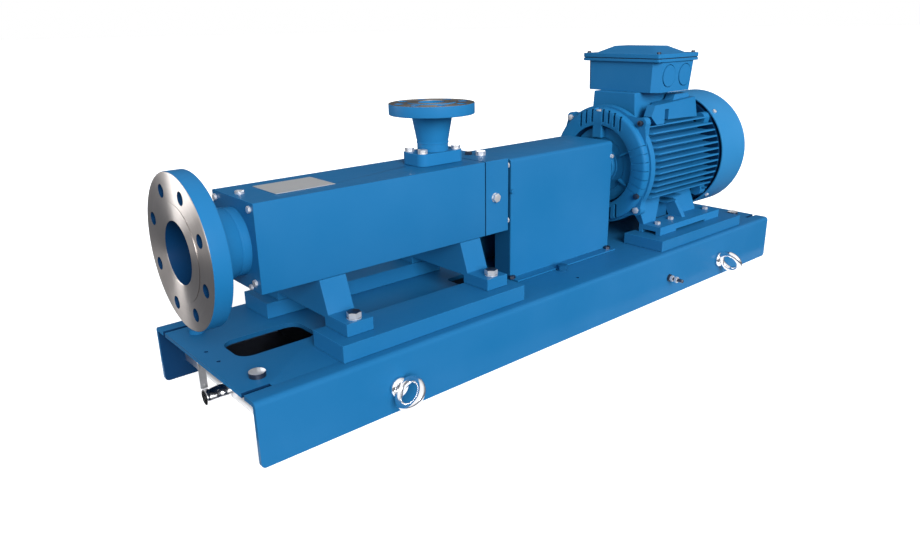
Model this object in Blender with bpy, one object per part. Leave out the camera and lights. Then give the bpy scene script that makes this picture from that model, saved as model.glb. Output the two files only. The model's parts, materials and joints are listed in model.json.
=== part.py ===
"""Three-screw pump set: pump, coupling guard and electric motor on a folded-plate base.

Lengths are in metres and +Z is up. The drawing runs from the front edge of the base at x = 0 towards the
motor at +X, with the shaft line over y = 0 and the floor at z = 0. One empty then moves the whole set, so
that its origin lies on the floor under the middle of its overall length.
"""
import math

import bmesh
import bpy
from mathutils import Matrix, Vector

# Fits between pieces that touch
GAP = 0.0003
MERGE = 0.00001
OVERLAP = 0.002
TAU = 2.0 * math.pi

# Base: one plate folded down along both long sides
BASE_LENGTH = 1.525
BASE_HALF = 0.197
BASE_TOP = 0.110
PLATE = 0.008
FOLD_RADIUS = 0.009
BASE_CORNER = 0.008
BEND_STEPS = 6
RELIEF_IN, RELIEF_OUT, RELIEF_LENGTH = 0.153, 0.162, 0.046
OPENING_X, OPENING_HALF, OPENING_CORNER = (0.053, 0.200), 0.042, 0.024
SEAL_OPENING_X, SEAL_OPENING_HALF, SEAL_OPENING_CORNER = (0.550, 0.640), 0.024, 0.010
PLATE_HOLE_RADIUS = 0.0035
PLATE_HOLE_X, PLATE_HOLE_Y = 0.022, 0.025

# Shaft line and casing
AXIS_Z = 0.296
CASING_HALF = 0.0747
CASING_X = (0.0865, 0.5734)
END_BLOCK_X = (CASING_X[1] + GAP, 0.6373)
CASING_EDGE = 0.0015
RATING_X, RATING_HALF, RATING_THICK = (0.144, 0.255), 0.0415, 0.0012
SUCTION_BORE = 0.0508
SUCTION_POCKET = 0.100
DISCHARGE_X = 0.5043
DISCHARGE_BORE = 0.0262
DISCHARGE_POCKET = 0.055

# Suction flange, four inch, and its neck
SUCTION_FACE = -0.0095
SUCTION_RADIUS = 0.127
SUCTION_RAISED = 0.0785
SUCTION_BACK = 0.0222
SUCTION_HOLES, SUCTION_HOLE_RADIUS, SUCTION_CIRCLE = 8, 0.011, 0.100
RAISED_STEP = 0.0016
SUCTION_HUB = ((0.0, 0.0765), (0.003, 0.0735), (0.0458, 0.0580))
SUCTION_NECK = 0.0572

# Discharge flange, two inch, on its bolted base
DISCHARGE_TOP = 0.4868
DISCHARGE_RADIUS = 0.0825
DISCHARGE_RAISED = 0.046
DISCHARGE_THICK = 0.0224
DISCHARGE_HUB, DISCHARGE_PIPE = 0.0390, 0.0300
DISCHARGE_CONE_END = 0.4125
DISCHARGE_HOLES, DISCHARGE_HOLE_RADIUS, DISCHARGE_CIRCLE = 8, 0.0095, 0.0635
PEDESTAL_TOP = 0.3945
PEDESTAL_HALF_X, PEDESTAL_HALF_Y, PEDESTAL_CORNER = 0.054, 0.0335, 0.0165

# Pads welded on the plate, and the feet on them
PUMP_PAD_X, PUMP_PAD_Y, PUMP_PAD_TOP = (0.166, 0.583), (0.0825, 0.176), 0.141
MOTOR_PAD_X, MOTOR_PAD_Y, MOTOR_PAD_TOP = (1.040, 1.396), (0.074, 0.183), 0.136
FOOT_FRONT_X, FOOT_REAR_X = (0.1906, 0.2430), (0.5061, 0.5590)
FOOT_OUT, FOOT_BLOCK_TOP, WEB_BOTTOM, WEB_FOOT_HALF = 0.152, 0.1640, 0.157, 0.095

# Coupling guard, bent sheet
GUARD_X = (0.6483, 0.9782)
GUARD_HALF, GUARD_TOP, GUARD_FLANGE_OUT = 0.0713, 0.3664, 0.095
SHEET = 0.003
GUARD_FOLD = 0.008
GUARD_SLOT_HALF = 0.0246
GUARD_SLOT_TOP = AXIS_Z + 0.045

# Shafts and coupling inside the guard
PUMP_SHAFT_RADIUS, MOTOR_SHAFT_RADIUS = 0.0165, 0.021
HUB_RADIUS, ELEMENT_RADIUS = 0.040, 0.050
HUB_FLANGE, ELEMENT_INSET = 0.018, 0.002
PUMP_HUB_X, ELEMENT_X, MOTOR_HUB_X = (0.690, 0.778), (0.7783, 0.8417), (0.842, 0.930)

# Motor
SHIELD_FRONT, SHIELD_BACK = 1.018, 1.0345
SHIELD_RADIUS, SHIELD_DISH = 0.1372, 0.095
SHIELD_RECESS = 0.010
CAP_RADIUS, CAP_REACH = 0.056, 0.004
LUG_ANGLES = [math.radians(45 + 90 * k) for k in range(4)]
LUG_CENTRE, LUG_RADIUS, LUG_FRONT = 0.1475, 0.0135, 1.0325
REAR_LUG_CENTRE, REAR_LUG_RADIUS = 0.1309, 0.018
REAR_SHIELD_RADIUS, REAR_SHIELD_STEP = 0.142, 0.120
FRAME_X = (SHIELD_BACK + GAP, 1.325)
RING_REAR, RING_RADIUS = 1.0515, 0.1418
BARREL_RADIUS = 0.118
FIN_TIP = 0.148
FIN_PITCH, FIN_TIP_HALF, FIN_ROOT_HALF = 0.015, 0.0020, 0.0034
FOOT_X = (1.077, 1.341)
FOOT_Y = (0.090, 0.1505)
FOOT_TOP = 0.156
FRONT_LEG_X, REAR_LEG_X = (1.080, 1.136), (1.205, 1.270)
LEG_IN, LEG_OUT, LEG_TURNS = 0.092, 0.124, (236, 222)
REAR_SHIELD_X = (FRAME_X[1] + GAP, 1.352)
COWL_X = (1.3293, 1.449)
COWL_RADIUS, COWL_INNER = 0.1522, 0.1492
COWL_BEND = ((0.012, 0.0), (0.004, 0.0032), (0.0, 0.0102))
GRILLE_RADIUS = 0.128
GRILLE_SLOTS = ((0.044, 0.078, 16), (0.086, 0.120, 24))
GRILLE_SLOT_SHARE = 0.32
FAN_BLADES, FAN_HUB, FAN_RIM, FAN_SHEET = 7, 0.034, 0.118, 0.003
FAN_DISC_X, FAN_HUB_END, FAN_BLADE_END = 1.386, 1.404, 1.425

# Terminal box over the motor
NECK_X, NECK_HALF, NECK_FOOT_HALF = (1.069, 1.205), 0.060, 0.065
NECK_BOTTOM = AXIS_Z + 0.100
BOX_BOTTOM, BOX_TOP = 0.4670, 0.5360
BOX_FRONT, BOX_REAR_BOTTOM, BOX_REAR_TOP = 1.089, 1.240, 1.249
BOX_HALF_BOTTOM, BOX_HALF_TOP = 0.1045, 0.1065
BOX_CHAMFER = 0.0165
RIM_X, RIM_HALF, RIM_TOP = (1.083, 1.249), 0.111, 0.554
DOME_INSET, DOME_SLOPE, DOME_TOP = 0.016, 0.036, 0.570
SIDE_BLOCK_Y, SIDE_BLOCK_SEAT = (0.068, 0.108), AXIS_Z + 0.0903
SIDE_BLOCK_LINE = [(1.0718, 0.4150), (1.0949, 0.3947), (1.1070, SIDE_BLOCK_SEAT), (1.2560, SIDE_BLOCK_SEAT),
                   (1.2660, 0.4005), (1.2515, 0.4490), (1.1700, 0.4440), (1.0848, 0.4400)]

# Under the front of the base
TRAY_X, TRAY_BOTTOM, TRAY_TOP, TRAY_HALF = (0.042, 0.235), 0.031, 0.097, 0.1887
TRAY_SHEET = 0.002
PIPE_Z, PIPE_RADIUS, PIPE_BORE = 0.041, 0.015, 0.0125
STRAP_X, STRAP_Y = (0.0, 0.012), (0.0095, 0.0125)

# Lifting eyes on the folded sides
EYE_FRONT_Z, EYE_REAR_Z = 0.047, 0.044
EYE_COLLAR_RADIUS, EYE_COLLAR = 0.018, 0.008
EYE_RING, EYE_WIRE, EYE_REACH = 0.0245, 0.007, 0.0325
EYE_FRONT_X, EYE_REAR_X = 0.255, 1.279
EYE_FRONT_TURN, EYE_REAR_TURN = math.radians(40), math.radians(-25)

MIDDLE_X = (SUCTION_FACE + BASE_LENGTH) / 2.0


def clear_scene():
    for old in list(bpy.data.objects):
        bpy.data.objects.remove(old, do_unlink=True)


def make_material(name, colour, roughness, metallic):
    material = bpy.data.materials.new(name)
    material.use_nodes = True
    shader = material.node_tree.nodes["Principled BSDF"]
    shader.inputs["Base Color"].default_value = (*colour, 1.0)
    shader.inputs["Roughness"].default_value = roughness
    shader.inputs["Metallic"].default_value = metallic
    return material


def paint(name):
    return make_material(name + "_paint", (0.02, 0.19, 0.50), 0.40, 0.0)


def steel(name, roughness=0.30):
    return make_material(name + "_steel", (0.62, 0.63, 0.65), roughness, 1.0)


def add_object(name, shape, material, smooth=None):
    """Turn a bmesh into a named object under the set's empty."""
    bmesh.ops.remove_doubles(shape, verts=shape.verts, dist=MERGE)
    bmesh.ops.recalc_face_normals(shape, faces=shape.faces)
    mesh = bpy.data.meshes.new(name)
    shape.to_mesh(mesh)
    shape.free()
    if smooth is not None:
        mesh.shade_smooth()
        mesh.set_sharp_from_angle(angle=math.radians(smooth))
    if material is not None:
        mesh.materials.append(material)
    thing = bpy.data.objects.new(name, mesh)
    bpy.context.scene.collection.objects.link(thing)
    thing.parent = SET
    return thing


def hide_tool(tool):
    tool.display_type = "WIRE"
    tool.hide_render = True
    return tool


def combine(thing, name, shape, operation):
    """Add a Boolean of one hidden helper shape to an object."""
    tool = hide_tool(add_object(name, shape, None))
    modifier = thing.modifiers.new(name, "BOOLEAN")
    modifier.operation = operation
    modifier.solver = "EXACT"
    modifier.object = tool
    return thing


def cut(thing, name, shape):
    return combine(thing, name + "_cutter", shape, "DIFFERENCE")


def fuse(thing, name, shape):
    return combine(thing, name + "_guide", shape, "UNION")


def add_box(shape, x, y, z):
    size = Vector((x[1] - x[0], y[1] - y[0], z[1] - z[0]))
    middle = Vector((x[0] + x[1], y[0] + y[1], z[0] + z[1])) / 2.0
    place = Matrix.Translation(middle) @ Matrix.Diagonal((*size, 1.0))
    bmesh.ops.create_cube(shape, size=1.0, matrix=place)
    return shape


def box_shape(x, y, z):
    return add_box(bmesh.new(), x, y, z)


def side_span(span, side):
    """A span of y on the left (side 1) or the right (side -1) of the shaft line."""
    return (span[0], span[1]) if side > 0 else (-span[1], -span[0])


AXIS_FRAMES = {
    "x": lambda a, b, c: Vector((c, a, b)),
    "y": lambda a, b, c: Vector((a, c, b)),
    "z": lambda a, b, c: Vector((a, b, c)),
}


def add_prism(shape, outline, axis, span):
    """A flat outline, given in the two other axes in order, pushed along one axis."""
    place = AXIS_FRAMES[axis]
    near = [shape.verts.new(place(a, b, span[0])) for a, b in outline]
    face = shape.faces.new(near)
    pushed = bmesh.ops.extrude_face_region(shape, geom=[face])
    far = [item for item in pushed["geom"] if isinstance(item, bmesh.types.BMVert)]
    bmesh.ops.translate(shape, verts=far, vec=place(0.0, 0.0, span[1] - span[0]))
    return shape


def prism_shape(outline, axis, span):
    return add_prism(bmesh.new(), outline, axis, span)


def arc(centre, radius, start, end, steps):
    """Points of an arc, angles in degrees."""
    angles = [math.radians(start + (end - start) * k / steps) for k in range(steps + 1)]
    return [(centre[0] + radius * math.cos(a), centre[1] + radius * math.sin(a)) for a in angles]


def rounded_rectangle(x, y, radius, steps=5):
    corners = [((x[1] - radius, y[1] - radius), 0), ((x[0] + radius, y[1] - radius), 90),
               ((x[0] + radius, y[0] + radius), 180), ((x[1] - radius, y[0] + radius), 270)]
    return [point for centre, start in corners for point in arc(centre, radius, start, start + 90, steps)]


def add_turned(shape, profile, origin, axis, steps):
    """Spin a closed profile of (along, radius) points about an axis through the origin point."""
    along = Vector(axis)
    across = Vector((0, 0, 1)) if abs(along.z) < 0.5 else Vector((1, 0, 0))
    verts = [shape.verts.new(Vector(origin) + along * a + across * r) for a, r in profile]
    edges = [shape.edges.new((verts[k], verts[(k + 1) % len(verts)])) for k in range(len(verts))]
    bmesh.ops.spin(shape, geom=verts + edges, cent=Vector(origin), axis=along, angle=TAU, steps=steps,
                   use_merge=True)
    bmesh.ops.remove_doubles(shape, verts=shape.verts, dist=MERGE)
    bmesh.ops.dissolve_degenerate(shape, edges=shape.edges, dist=MERGE)
    return shape


def turned_shape(profile, origin=(0.0, 0.0, AXIS_Z), axis=(1, 0, 0), steps=48):
    return add_turned(bmesh.new(), profile, origin, axis, steps)


def rod(shape, origin, axis, span, radius, steps=16):
    profile = [(span[0], 0.0), (span[0], radius), (span[1], radius), (span[1], 0.0)]
    return add_turned(shape, profile, origin, axis, steps)


def polar(radius, angle):
    """A point (y, z) around the shaft line."""
    return radius * math.cos(angle), AXIS_Z + radius * math.sin(angle)


def make_base():
    outer = BASE_HALF
    inner = BASE_HALF - PLATE
    fold_in = FOLD_RADIUS - PLATE
    right_out = arc((-outer + FOLD_RADIUS, BASE_TOP - FOLD_RADIUS), FOLD_RADIUS, 180, 90, BEND_STEPS)
    left_out = arc((outer - FOLD_RADIUS, BASE_TOP - FOLD_RADIUS), FOLD_RADIUS, 90, 0, BEND_STEPS)
    left_in = arc((outer - FOLD_RADIUS, BASE_TOP - FOLD_RADIUS), fold_in, 0, 90, BEND_STEPS)
    right_in = arc((-outer + FOLD_RADIUS, BASE_TOP - FOLD_RADIUS), fold_in, 90, 180, BEND_STEPS)
    outline = [(-outer, 0.0), *right_out, *left_out, (outer, 0.0), (inner, 0.0), *left_in, *right_in,
               (-inner, 0.0)]
    base = add_object("base_frame", prism_shape(outline, "x", (0.0, BASE_LENGTH)), paint("base"), 40)
    through = (BASE_TOP - 2 * PLATE, BASE_TOP + PLATE)
    opening = rounded_rectangle(OPENING_X, (-OPENING_HALF, OPENING_HALF), OPENING_CORNER)
    holes = prism_shape(opening, "z", through)
    seal_span = (-SEAL_OPENING_HALF, SEAL_OPENING_HALF)
    add_prism(holes, rounded_rectangle(SEAL_OPENING_X, seal_span, SEAL_OPENING_CORNER, 3), "z", through)
    for side in (-1, 1):
        for ends in ((-PLATE, RELIEF_LENGTH), (BASE_LENGTH - RELIEF_LENGTH, BASE_LENGTH + PLATE)):
            add_box(holes, ends, side_span((RELIEF_IN, RELIEF_OUT), side), through)
        rod(holes, (PLATE_HOLE_X, PLATE_HOLE_Y * side, 0.0), (0, 0, 1), through, PLATE_HOLE_RADIUS, 8)
    cut(base, "plate_openings", holes)
    far = BASE_CORNER + PLATE
    wide = (-BASE_HALF - PLATE, BASE_HALF + PLATE)
    front = [(-PLATE, -PLATE), (far, -PLATE), (BASE_CORNER, 0.0),
             *arc((BASE_CORNER, BASE_CORNER), BASE_CORNER, 270, 180, 5), (-PLATE, BASE_CORNER)]
    corners = prism_shape(front, "y", wide)
    rear = [(BASE_LENGTH - x, z) for x, z in front]
    add_prism(corners, rear, "y", wide)
    cut(base, "bottom_corners", corners)


def make_drain():
    inner = TRAY_SHEET
    tray = add_object("drip_tray", box_shape(TRAY_X, (-TRAY_HALF, TRAY_HALF), (TRAY_BOTTOM, TRAY_TOP)),
                      steel("tray"))
    hollow = box_shape((TRAY_X[0] + inner, TRAY_X[1] - inner), (-TRAY_HALF + inner, TRAY_HALF - inner),
                       (TRAY_BOTTOM + inner, TRAY_TOP + PLATE))
    cut(tray, "tray_hollow", hollow)
    spout = rod(bmesh.new(), (0.0, 0.0, PIPE_Z + inner), (1, 0, 0), (TRAY_X[0] - PLATE, TRAY_X[0] + PLATE),
                PIPE_BORE - inner, 24)
    cut(tray, "tray_spout", spout)
    end = TRAY_X[0] - GAP
    pipe = [(0.0, PIPE_BORE), (0.0, PIPE_RADIUS), (end, PIPE_RADIUS), (end, PIPE_BORE)]
    add_object("drain_pipe", turned_shape(pipe, (0.0, 0.0, PIPE_Z), steps=32), steel("pipe", 0.12), 40)
    top = BASE_TOP - PLATE - GAP
    rest = PIPE_Z + math.sqrt(PIPE_RADIUS ** 2 - STRAP_Y[0] ** 2) + 2 * GAP
    add_object("drain_strap", box_shape(STRAP_X, STRAP_Y, (rest, top)), steel("strap"))


def make_pads():
    for side, word in ((1, "left"), (-1, "right")):
        low = BASE_TOP + GAP
        pump = box_shape(PUMP_PAD_X, side_span(PUMP_PAD_Y, side), (low, PUMP_PAD_TOP))
        add_object("pump_pad_" + word, pump, paint("pump_pad_" + word))
        motor = box_shape(MOTOR_PAD_X, side_span(MOTOR_PAD_Y, side), (low, MOTOR_PAD_TOP))
        add_object("motor_pad_" + word, motor, paint("motor_pad_" + word))


def make_pump_feet():
    low = PUMP_PAD_TOP + GAP
    top = AXIS_Z - CASING_HALF - GAP
    half = [(PUMP_PAD_Y[0], WEB_BOTTOM), (PUMP_PAD_Y[0], low), (FOOT_OUT, low), (FOOT_OUT, FOOT_BLOCK_TOP),
            (WEB_FOOT_HALF, FOOT_BLOCK_TOP), (CASING_HALF, top)]
    outline = half + [(-y, z) for y, z in reversed(half)]
    for word, span in (("front", FOOT_FRONT_X), ("rear", FOOT_REAR_X)):
        add_object("pump_foot_" + word, prism_shape(outline, "x", span), paint("pump_foot_" + word))


def square_block(name, span, edge):
    half = CASING_HALF
    block = box_shape(span, (-half, half), (AXIS_Z - half, AXIS_Z + half))
    long_edges = [e for e in block.edges if abs(e.verts[0].co.x - e.verts[1].co.x) > edge]
    bmesh.ops.bevel(block, geom=long_edges, offset=edge, segments=2, profile=0.5, affect="EDGES")
    return add_object(name, block, paint(name))


def make_casing():
    casing = square_block("pump_casing", CASING_X, CASING_EDGE)
    ports = rod(bmesh.new(), (0.0, 0.0, AXIS_Z), (1, 0, 0),
                (CASING_X[0] - PLATE, CASING_X[0] + SUCTION_POCKET), SUCTION_BORE, 48)
    top = AXIS_Z + CASING_HALF
    span = (top - DISCHARGE_POCKET, top + PLATE)
    rod(ports, (DISCHARGE_X, 0.0, 0.0), (0, 0, 1), span, DISCHARGE_BORE, 32)
    cut(casing, "casing_ports", ports)
    square_block("drive_end_block", END_BLOCK_X, CASING_EDGE)
    plate = box_shape(RATING_X, (-RATING_HALF, RATING_HALF), (top + GAP, top + RATING_THICK))
    add_object("rating_plate", plate, make_material("plate_metal", (0.75, 0.72, 0.68), 0.4, 0.6))


def bolt_holes(count, circle, radius, place, axis, span):
    """Cutters for a bolt circle that straddles the centre lines."""
    holes = bmesh.new()
    for k in range(count):
        angle = TAU * (k + 0.5) / count
        rod(holes, place(circle * math.cos(angle), circle * math.sin(angle)), axis, span, radius, 12)
    return holes


def make_suction_nozzle():
    step = SUCTION_FACE + RAISED_STEP
    end = CASING_X[0] - GAP
    profile = [(SUCTION_FACE, SUCTION_BORE), (SUCTION_FACE, SUCTION_RAISED), (step, SUCTION_RAISED),
               (step, SUCTION_RADIUS), (SUCTION_BACK, SUCTION_RADIUS),
               *((SUCTION_BACK + along, radius) for along, radius in SUCTION_HUB),
               (end, SUCTION_NECK), (end, SUCTION_BORE)]
    nozzle = add_object("suction_nozzle", turned_shape(profile), paint("suction"), 35)
    through = (SUCTION_FACE - PLATE, SUCTION_BACK + PLATE)
    holes = bolt_holes(SUCTION_HOLES, SUCTION_CIRCLE, SUCTION_HOLE_RADIUS,
                       lambda a, b: (0.0, a, AXIS_Z + b), (1, 0, 0), through)
    cut(nozzle, "suction_holes", holes)


def make_discharge_nozzle():
    step = DISCHARGE_TOP - RAISED_STEP
    under = DISCHARGE_TOP - DISCHARGE_THICK
    low = PEDESTAL_TOP + GAP
    profile = [(DISCHARGE_TOP, DISCHARGE_BORE), (DISCHARGE_TOP, DISCHARGE_RAISED), (step, DISCHARGE_RAISED),
               (step, DISCHARGE_RADIUS), (under, DISCHARGE_RADIUS), (under, DISCHARGE_HUB),
               (DISCHARGE_CONE_END, DISCHARGE_PIPE), (low, DISCHARGE_PIPE), (low, DISCHARGE_BORE)]
    shape = turned_shape(profile, (DISCHARGE_X, 0.0, 0.0), (0, 0, 1), 40)
    nozzle = add_object("discharge_nozzle", shape, paint("discharge"), 35)
    through = (under - PLATE, DISCHARGE_TOP + PLATE)
    holes = bolt_holes(DISCHARGE_HOLES, DISCHARGE_CIRCLE, DISCHARGE_HOLE_RADIUS,
                       lambda a, b: (DISCHARGE_X + a, b, 0.0), (0, 0, 1), through)
    cut(nozzle, "discharge_holes", holes)
    x = (DISCHARGE_X - PEDESTAL_HALF_X, DISCHARGE_X + PEDESTAL_HALF_X)
    outline = rounded_rectangle(x, (-PEDESTAL_HALF_Y, PEDESTAL_HALF_Y), PEDESTAL_CORNER, 6)
    bottom = AXIS_Z + CASING_HALF + GAP
    base = prism_shape(outline, "z", (bottom, PEDESTAL_TOP))
    base = add_object("discharge_base", base, paint("pedestal"), 30)
    bore = rod(bmesh.new(), (DISCHARGE_X, 0.0, 0.0), (0, 0, 1), (bottom - PLATE, PEDESTAL_TOP + PLATE),
               DISCHARGE_BORE, 32)
    cut(base, "discharge_bore", bore)


def guard_outline():
    half, top = GUARD_HALF, GUARD_TOP
    low = BASE_TOP + GAP
    fold_in = GUARD_FOLD - SHEET
    outside = [(-GUARD_FLANGE_OUT, low), (-GUARD_FLANGE_OUT, low + SHEET), (-half, low + SHEET)]
    outside += arc((-half + GUARD_FOLD, top - GUARD_FOLD), GUARD_FOLD, 180, 90, 4)
    outside += arc((half - GUARD_FOLD, top - GUARD_FOLD), GUARD_FOLD, 90, 0, 4)
    outside += [(half, low + SHEET), (GUARD_FLANGE_OUT, low + SHEET), (GUARD_FLANGE_OUT, low)]
    inside = [(half - SHEET, low)]
    inside += arc((half - GUARD_FOLD, top - GUARD_FOLD), fold_in, 0, 90, 4)
    inside += arc((-half + GUARD_FOLD, top - GUARD_FOLD), fold_in, 90, 180, 4)
    inside += [(-half + SHEET, low)]
    return outside + inside


def make_guard():
    add_object("coupling_guard", prism_shape(guard_outline(), "x", GUARD_X), paint("guard"), 30)
    half = GUARD_HALF - SHEET - GAP
    top = GUARD_TOP - SHEET - GAP
    fold = GUARD_FOLD - SHEET
    low = BASE_TOP + GAP
    slot = GUARD_SLOT_HALF
    centre = GUARD_SLOT_TOP - slot
    outline = [(-half, low), *arc((-half + fold, top - fold), fold, 180, 90, 3),
               *arc((half - fold, top - fold), fold, 90, 0, 3), (half, low), (slot, low),
               *arc((0.0, centre), slot, 0, 180, 10), (-slot, low)]
    ends = (("guard_front_plate", (GUARD_X[0], GUARD_X[0] + SHEET)),
            ("guard_rear_plate", (GUARD_X[1] - SHEET, GUARD_X[1])))
    for name, span in ends:
        add_object(name, prism_shape(outline, "x", span), paint(name))


def make_coupling():
    line = (0.0, 0.0, AXIS_Z)
    along = (1, 0, 0)
    span = (END_BLOCK_X[1] + GAP, PUMP_HUB_X[0] - GAP)
    shaft = rod(bmesh.new(), line, along, span, PUMP_SHAFT_RADIUS, 24)
    add_object("pump_shaft", shaft, steel("pump_shaft"), 40)
    for name, outer, inner in (("pump_hub", PUMP_HUB_X[0], PUMP_HUB_X[1]),
                               ("motor_hub", MOTOR_HUB_X[1], MOTOR_HUB_X[0])):
        rim = inner + math.copysign(HUB_FLANGE, outer - inner)
        profile = [(outer, 0.0), (outer, HUB_RADIUS), (rim, HUB_RADIUS), (rim, ELEMENT_RADIUS),
                   (inner, ELEMENT_RADIUS), (inner, 0.0)]
        add_object(name, turned_shape(profile, steps=32), steel(name), 35)
    element = rod(bmesh.new(), line, along, ELEMENT_X, ELEMENT_RADIUS - ELEMENT_INSET, 32)
    rubber = make_material("element_rubber", (0.03, 0.03, 0.03), 0.7, 0.0)
    add_object("coupling_element", element, rubber, 40)
    reach = (MOTOR_HUB_X[1] + GAP, SHIELD_FRONT - CAP_REACH - GAP)
    shaft = rod(bmesh.new(), line, along, reach, MOTOR_SHAFT_RADIUS, 24)
    add_object("motor_shaft", shaft, steel("motor_shaft"), 40)


def lugs(centre, radius, span):
    """Four round bolt lugs at the corners of an end shield."""
    shape = bmesh.new()
    for angle in LUG_ANGLES:
        y, z = polar(centre, angle)
        rod(shape, (0.0, y, z), (1, 0, 0), span, radius, 12)
    return shape


def make_end_shields():
    front, back = SHIELD_FRONT, SHIELD_BACK
    recess = front + SHIELD_RECESS
    slope = SHIELD_RECESS - PLATE
    profile = [(recess, 0.0), (recess, SHIELD_DISH), (front, SHIELD_DISH + slope),
               (front, SHIELD_RADIUS - 3 * slope), (front + slope, SHIELD_RADIUS - slope),
               (front + 3 * slope, SHIELD_RADIUS), (back, SHIELD_RADIUS), (back, 0.0)]
    shield = add_object("drive_end_shield", turned_shape(profile), paint("drive_shield"), 25)
    fuse(shield, "drive_shield_lugs", lugs(LUG_CENTRE, LUG_RADIUS, (LUG_FRONT, back)))
    cap = [(front - CAP_REACH, 0.0), (front - CAP_REACH, CAP_RADIUS - CAP_REACH), (front, CAP_RADIUS),
           (recess - GAP, CAP_RADIUS), (recess - GAP, 0.0)]
    add_object("bearing_cap", turned_shape(cap, steps=40), paint("bearing_cap"), 35)
    start, end = REAR_SHIELD_X
    rear = [(start, 0.0), (start, REAR_SHIELD_RADIUS), (end - PLATE, REAR_SHIELD_RADIUS),
            (end, REAR_SHIELD_STEP), (end, 0.0)]
    shield = add_object("fan_end_shield", turned_shape(rear), paint("fan_shield"), 25)
    fuse(shield, "fan_shield_lugs", lugs(REAR_LUG_CENTRE, REAR_LUG_RADIUS, (start, end - SHEET)))


def fin(offset, direction, root=BARREL_RADIUS):
    """One fin's outline around the shaft line: root, tip, tip, root, in order of rising angle."""
    points = []
    for across, radius in ((-FIN_ROOT_HALF, root), (-FIN_TIP_HALF, FIN_TIP), (FIN_TIP_HALF, FIN_TIP),
                           (FIN_ROOT_HALF, root)):
        level = offset + across
        points.append((math.sqrt(radius ** 2 - level ** 2), level))
    turn = {"left": lambda out, up: (out, up), "top": lambda out, up: (-up, out),
            "right": lambda out, up: (-out, -up)}[direction]
    return [turn(out, up) for out, up in points]


def frame_outline():
    """Section of the finned motor frame: fins stand out sideways and upwards, the underside is plain."""
    side_fins = [FIN_PITCH * (k + 0.5) for k in range(-5, 7)]
    top_fins = [FIN_PITCH * k for k in range(-3, 4)]
    points = []
    for level in side_fins:
        points += fin(level, "left")
    for level in top_fins:
        points += fin(level, "top")
    for level in reversed(side_fins):
        points += fin(-level, "right")
    last = math.degrees(math.atan2(points[-1][1], points[-1][0]))
    first = math.degrees(math.atan2(points[0][1], points[0][0]))
    points += arc((0.0, 0.0), BARREL_RADIUS, last % 360, first % 360, 14)[1:-1]
    return [(y, AXIS_Z + z) for y, z in points]


def low_fins():
    """The two lowest fins on each side, which stop short of the feet's legs."""
    fins = bmesh.new()
    runs = ((RING_REAR, FRONT_LEG_X[0] - GAP), (FRONT_LEG_X[1] + GAP, REAR_LEG_X[0] - GAP),
            (REAR_LEG_X[1] + GAP, FRAME_X[1]))
    for run in runs:
        for level in (-5.5 * FIN_PITCH, -6.5 * FIN_PITCH):
            left = fin(level, "left", BARREL_RADIUS - PLATE)
            for mirror in (1, -1):
                add_prism(fins, [(y * mirror, AXIS_Z + z) for y, z in left], "x", run)
    return fins


def make_motor_frame():
    fins = prism_shape(frame_outline(), "x", (RING_REAR - SHEET, FRAME_X[1]))
    frame = add_object("motor_frame", fins, paint("frame"))
    fuse(frame, "low_fins", low_fins())
    high = AXIS_Z + FIN_TIP + PLATE
    half = NECK_FOOT_HALF + OVERLAP
    room = box_shape((RING_REAR - PLATE, NECK_X[1] + GAP), (-half, half), (NECK_BOTTOM - GAP, high))
    cut(frame, "neck_room", room)
    sides = bmesh.new()
    along = (RING_REAR - PLATE, SIDE_BLOCK_LINE[4][0] + PLATE)
    for side in (-1, 1):
        add_box(sides, along, side_span((half + GAP, FIN_TIP + PLATE), side), (SIDE_BLOCK_SEAT - GAP, high))
    cut(frame, "side_block_room", sides)
    ring = rod(bmesh.new(), (0.0, 0.0, AXIS_Z), (1, 0, 0), (FRAME_X[0], RING_REAR), RING_RADIUS, 48)
    fuse(frame, "frame_ring", ring)
    fuse(frame, "frame_lugs", lugs(LUG_CENTRE, LUG_RADIUS, (FRAME_X[0], RING_REAR - OVERLAP)))


def make_motor_feet():
    low = MOTOR_PAD_TOP + GAP
    for side, word in ((1, "left"), (-1, "right")):
        plate = box_shape(FOOT_X, side_span(FOOT_Y, side), (low, FOOT_TOP))
        foot = add_object("motor_foot_" + word, plate, paint("motor_foot_" + word))
        legs = bmesh.new()
        reach = BARREL_RADIUS + GAP * 2
        for span in (FRONT_LEG_X, REAR_LEG_X):
            saddle = [(-y, AXIS_Z + z) for y, z in arc((0.0, 0.0), reach, *LEG_TURNS, 4)]
            outline = [(LEG_IN, low + OVERLAP), *saddle, (LEG_OUT, FOOT_TOP - OVERLAP),
                       (LEG_OUT, low + OVERLAP)]
            if side < 0:
                outline = [(-y, z) for y, z in reversed(outline)]
            add_prism(legs, outline, "x", span)
        fuse(foot, "motor_legs_" + word, legs)


def make_cowl():
    start, end = COWL_X
    wall = COWL_RADIUS - COWL_INNER
    outside = [(end - back, COWL_RADIUS - down) for back, down in COWL_BEND]
    inside = [(along - wall, radius - wall) for along, radius in reversed(outside)]
    profile = [(start, COWL_INNER), (start, COWL_RADIUS), *outside, (end, GRILLE_RADIUS + GAP),
               (end - wall, GRILLE_RADIUS + GAP), *inside]
    add_object("fan_cowl", turned_shape(profile), paint("cowl"), 30)
    disc = rod(bmesh.new(), (0, 0, AXIS_Z), (1, 0, 0), (end - wall, end), GRILLE_RADIUS, 48)
    grille = add_object("cowl_grille", disc, paint("grille"), 30)
    slots = bmesh.new()
    for inner, outer, count in GRILLE_SLOTS:
        for k in range(count):
            middle = TAU * (k + 0.5) / count
            half = TAU / count * GRILLE_SLOT_SHARE
            outline = [polar(inner, middle - half), polar(outer, middle - half),
                       polar(outer, middle + half), polar(inner, middle + half)]
            add_prism(slots, outline, "x", (end - wall - PLATE, end + PLATE))
    cut(grille, "grille_slots", slots)
    make_fan()


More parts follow.
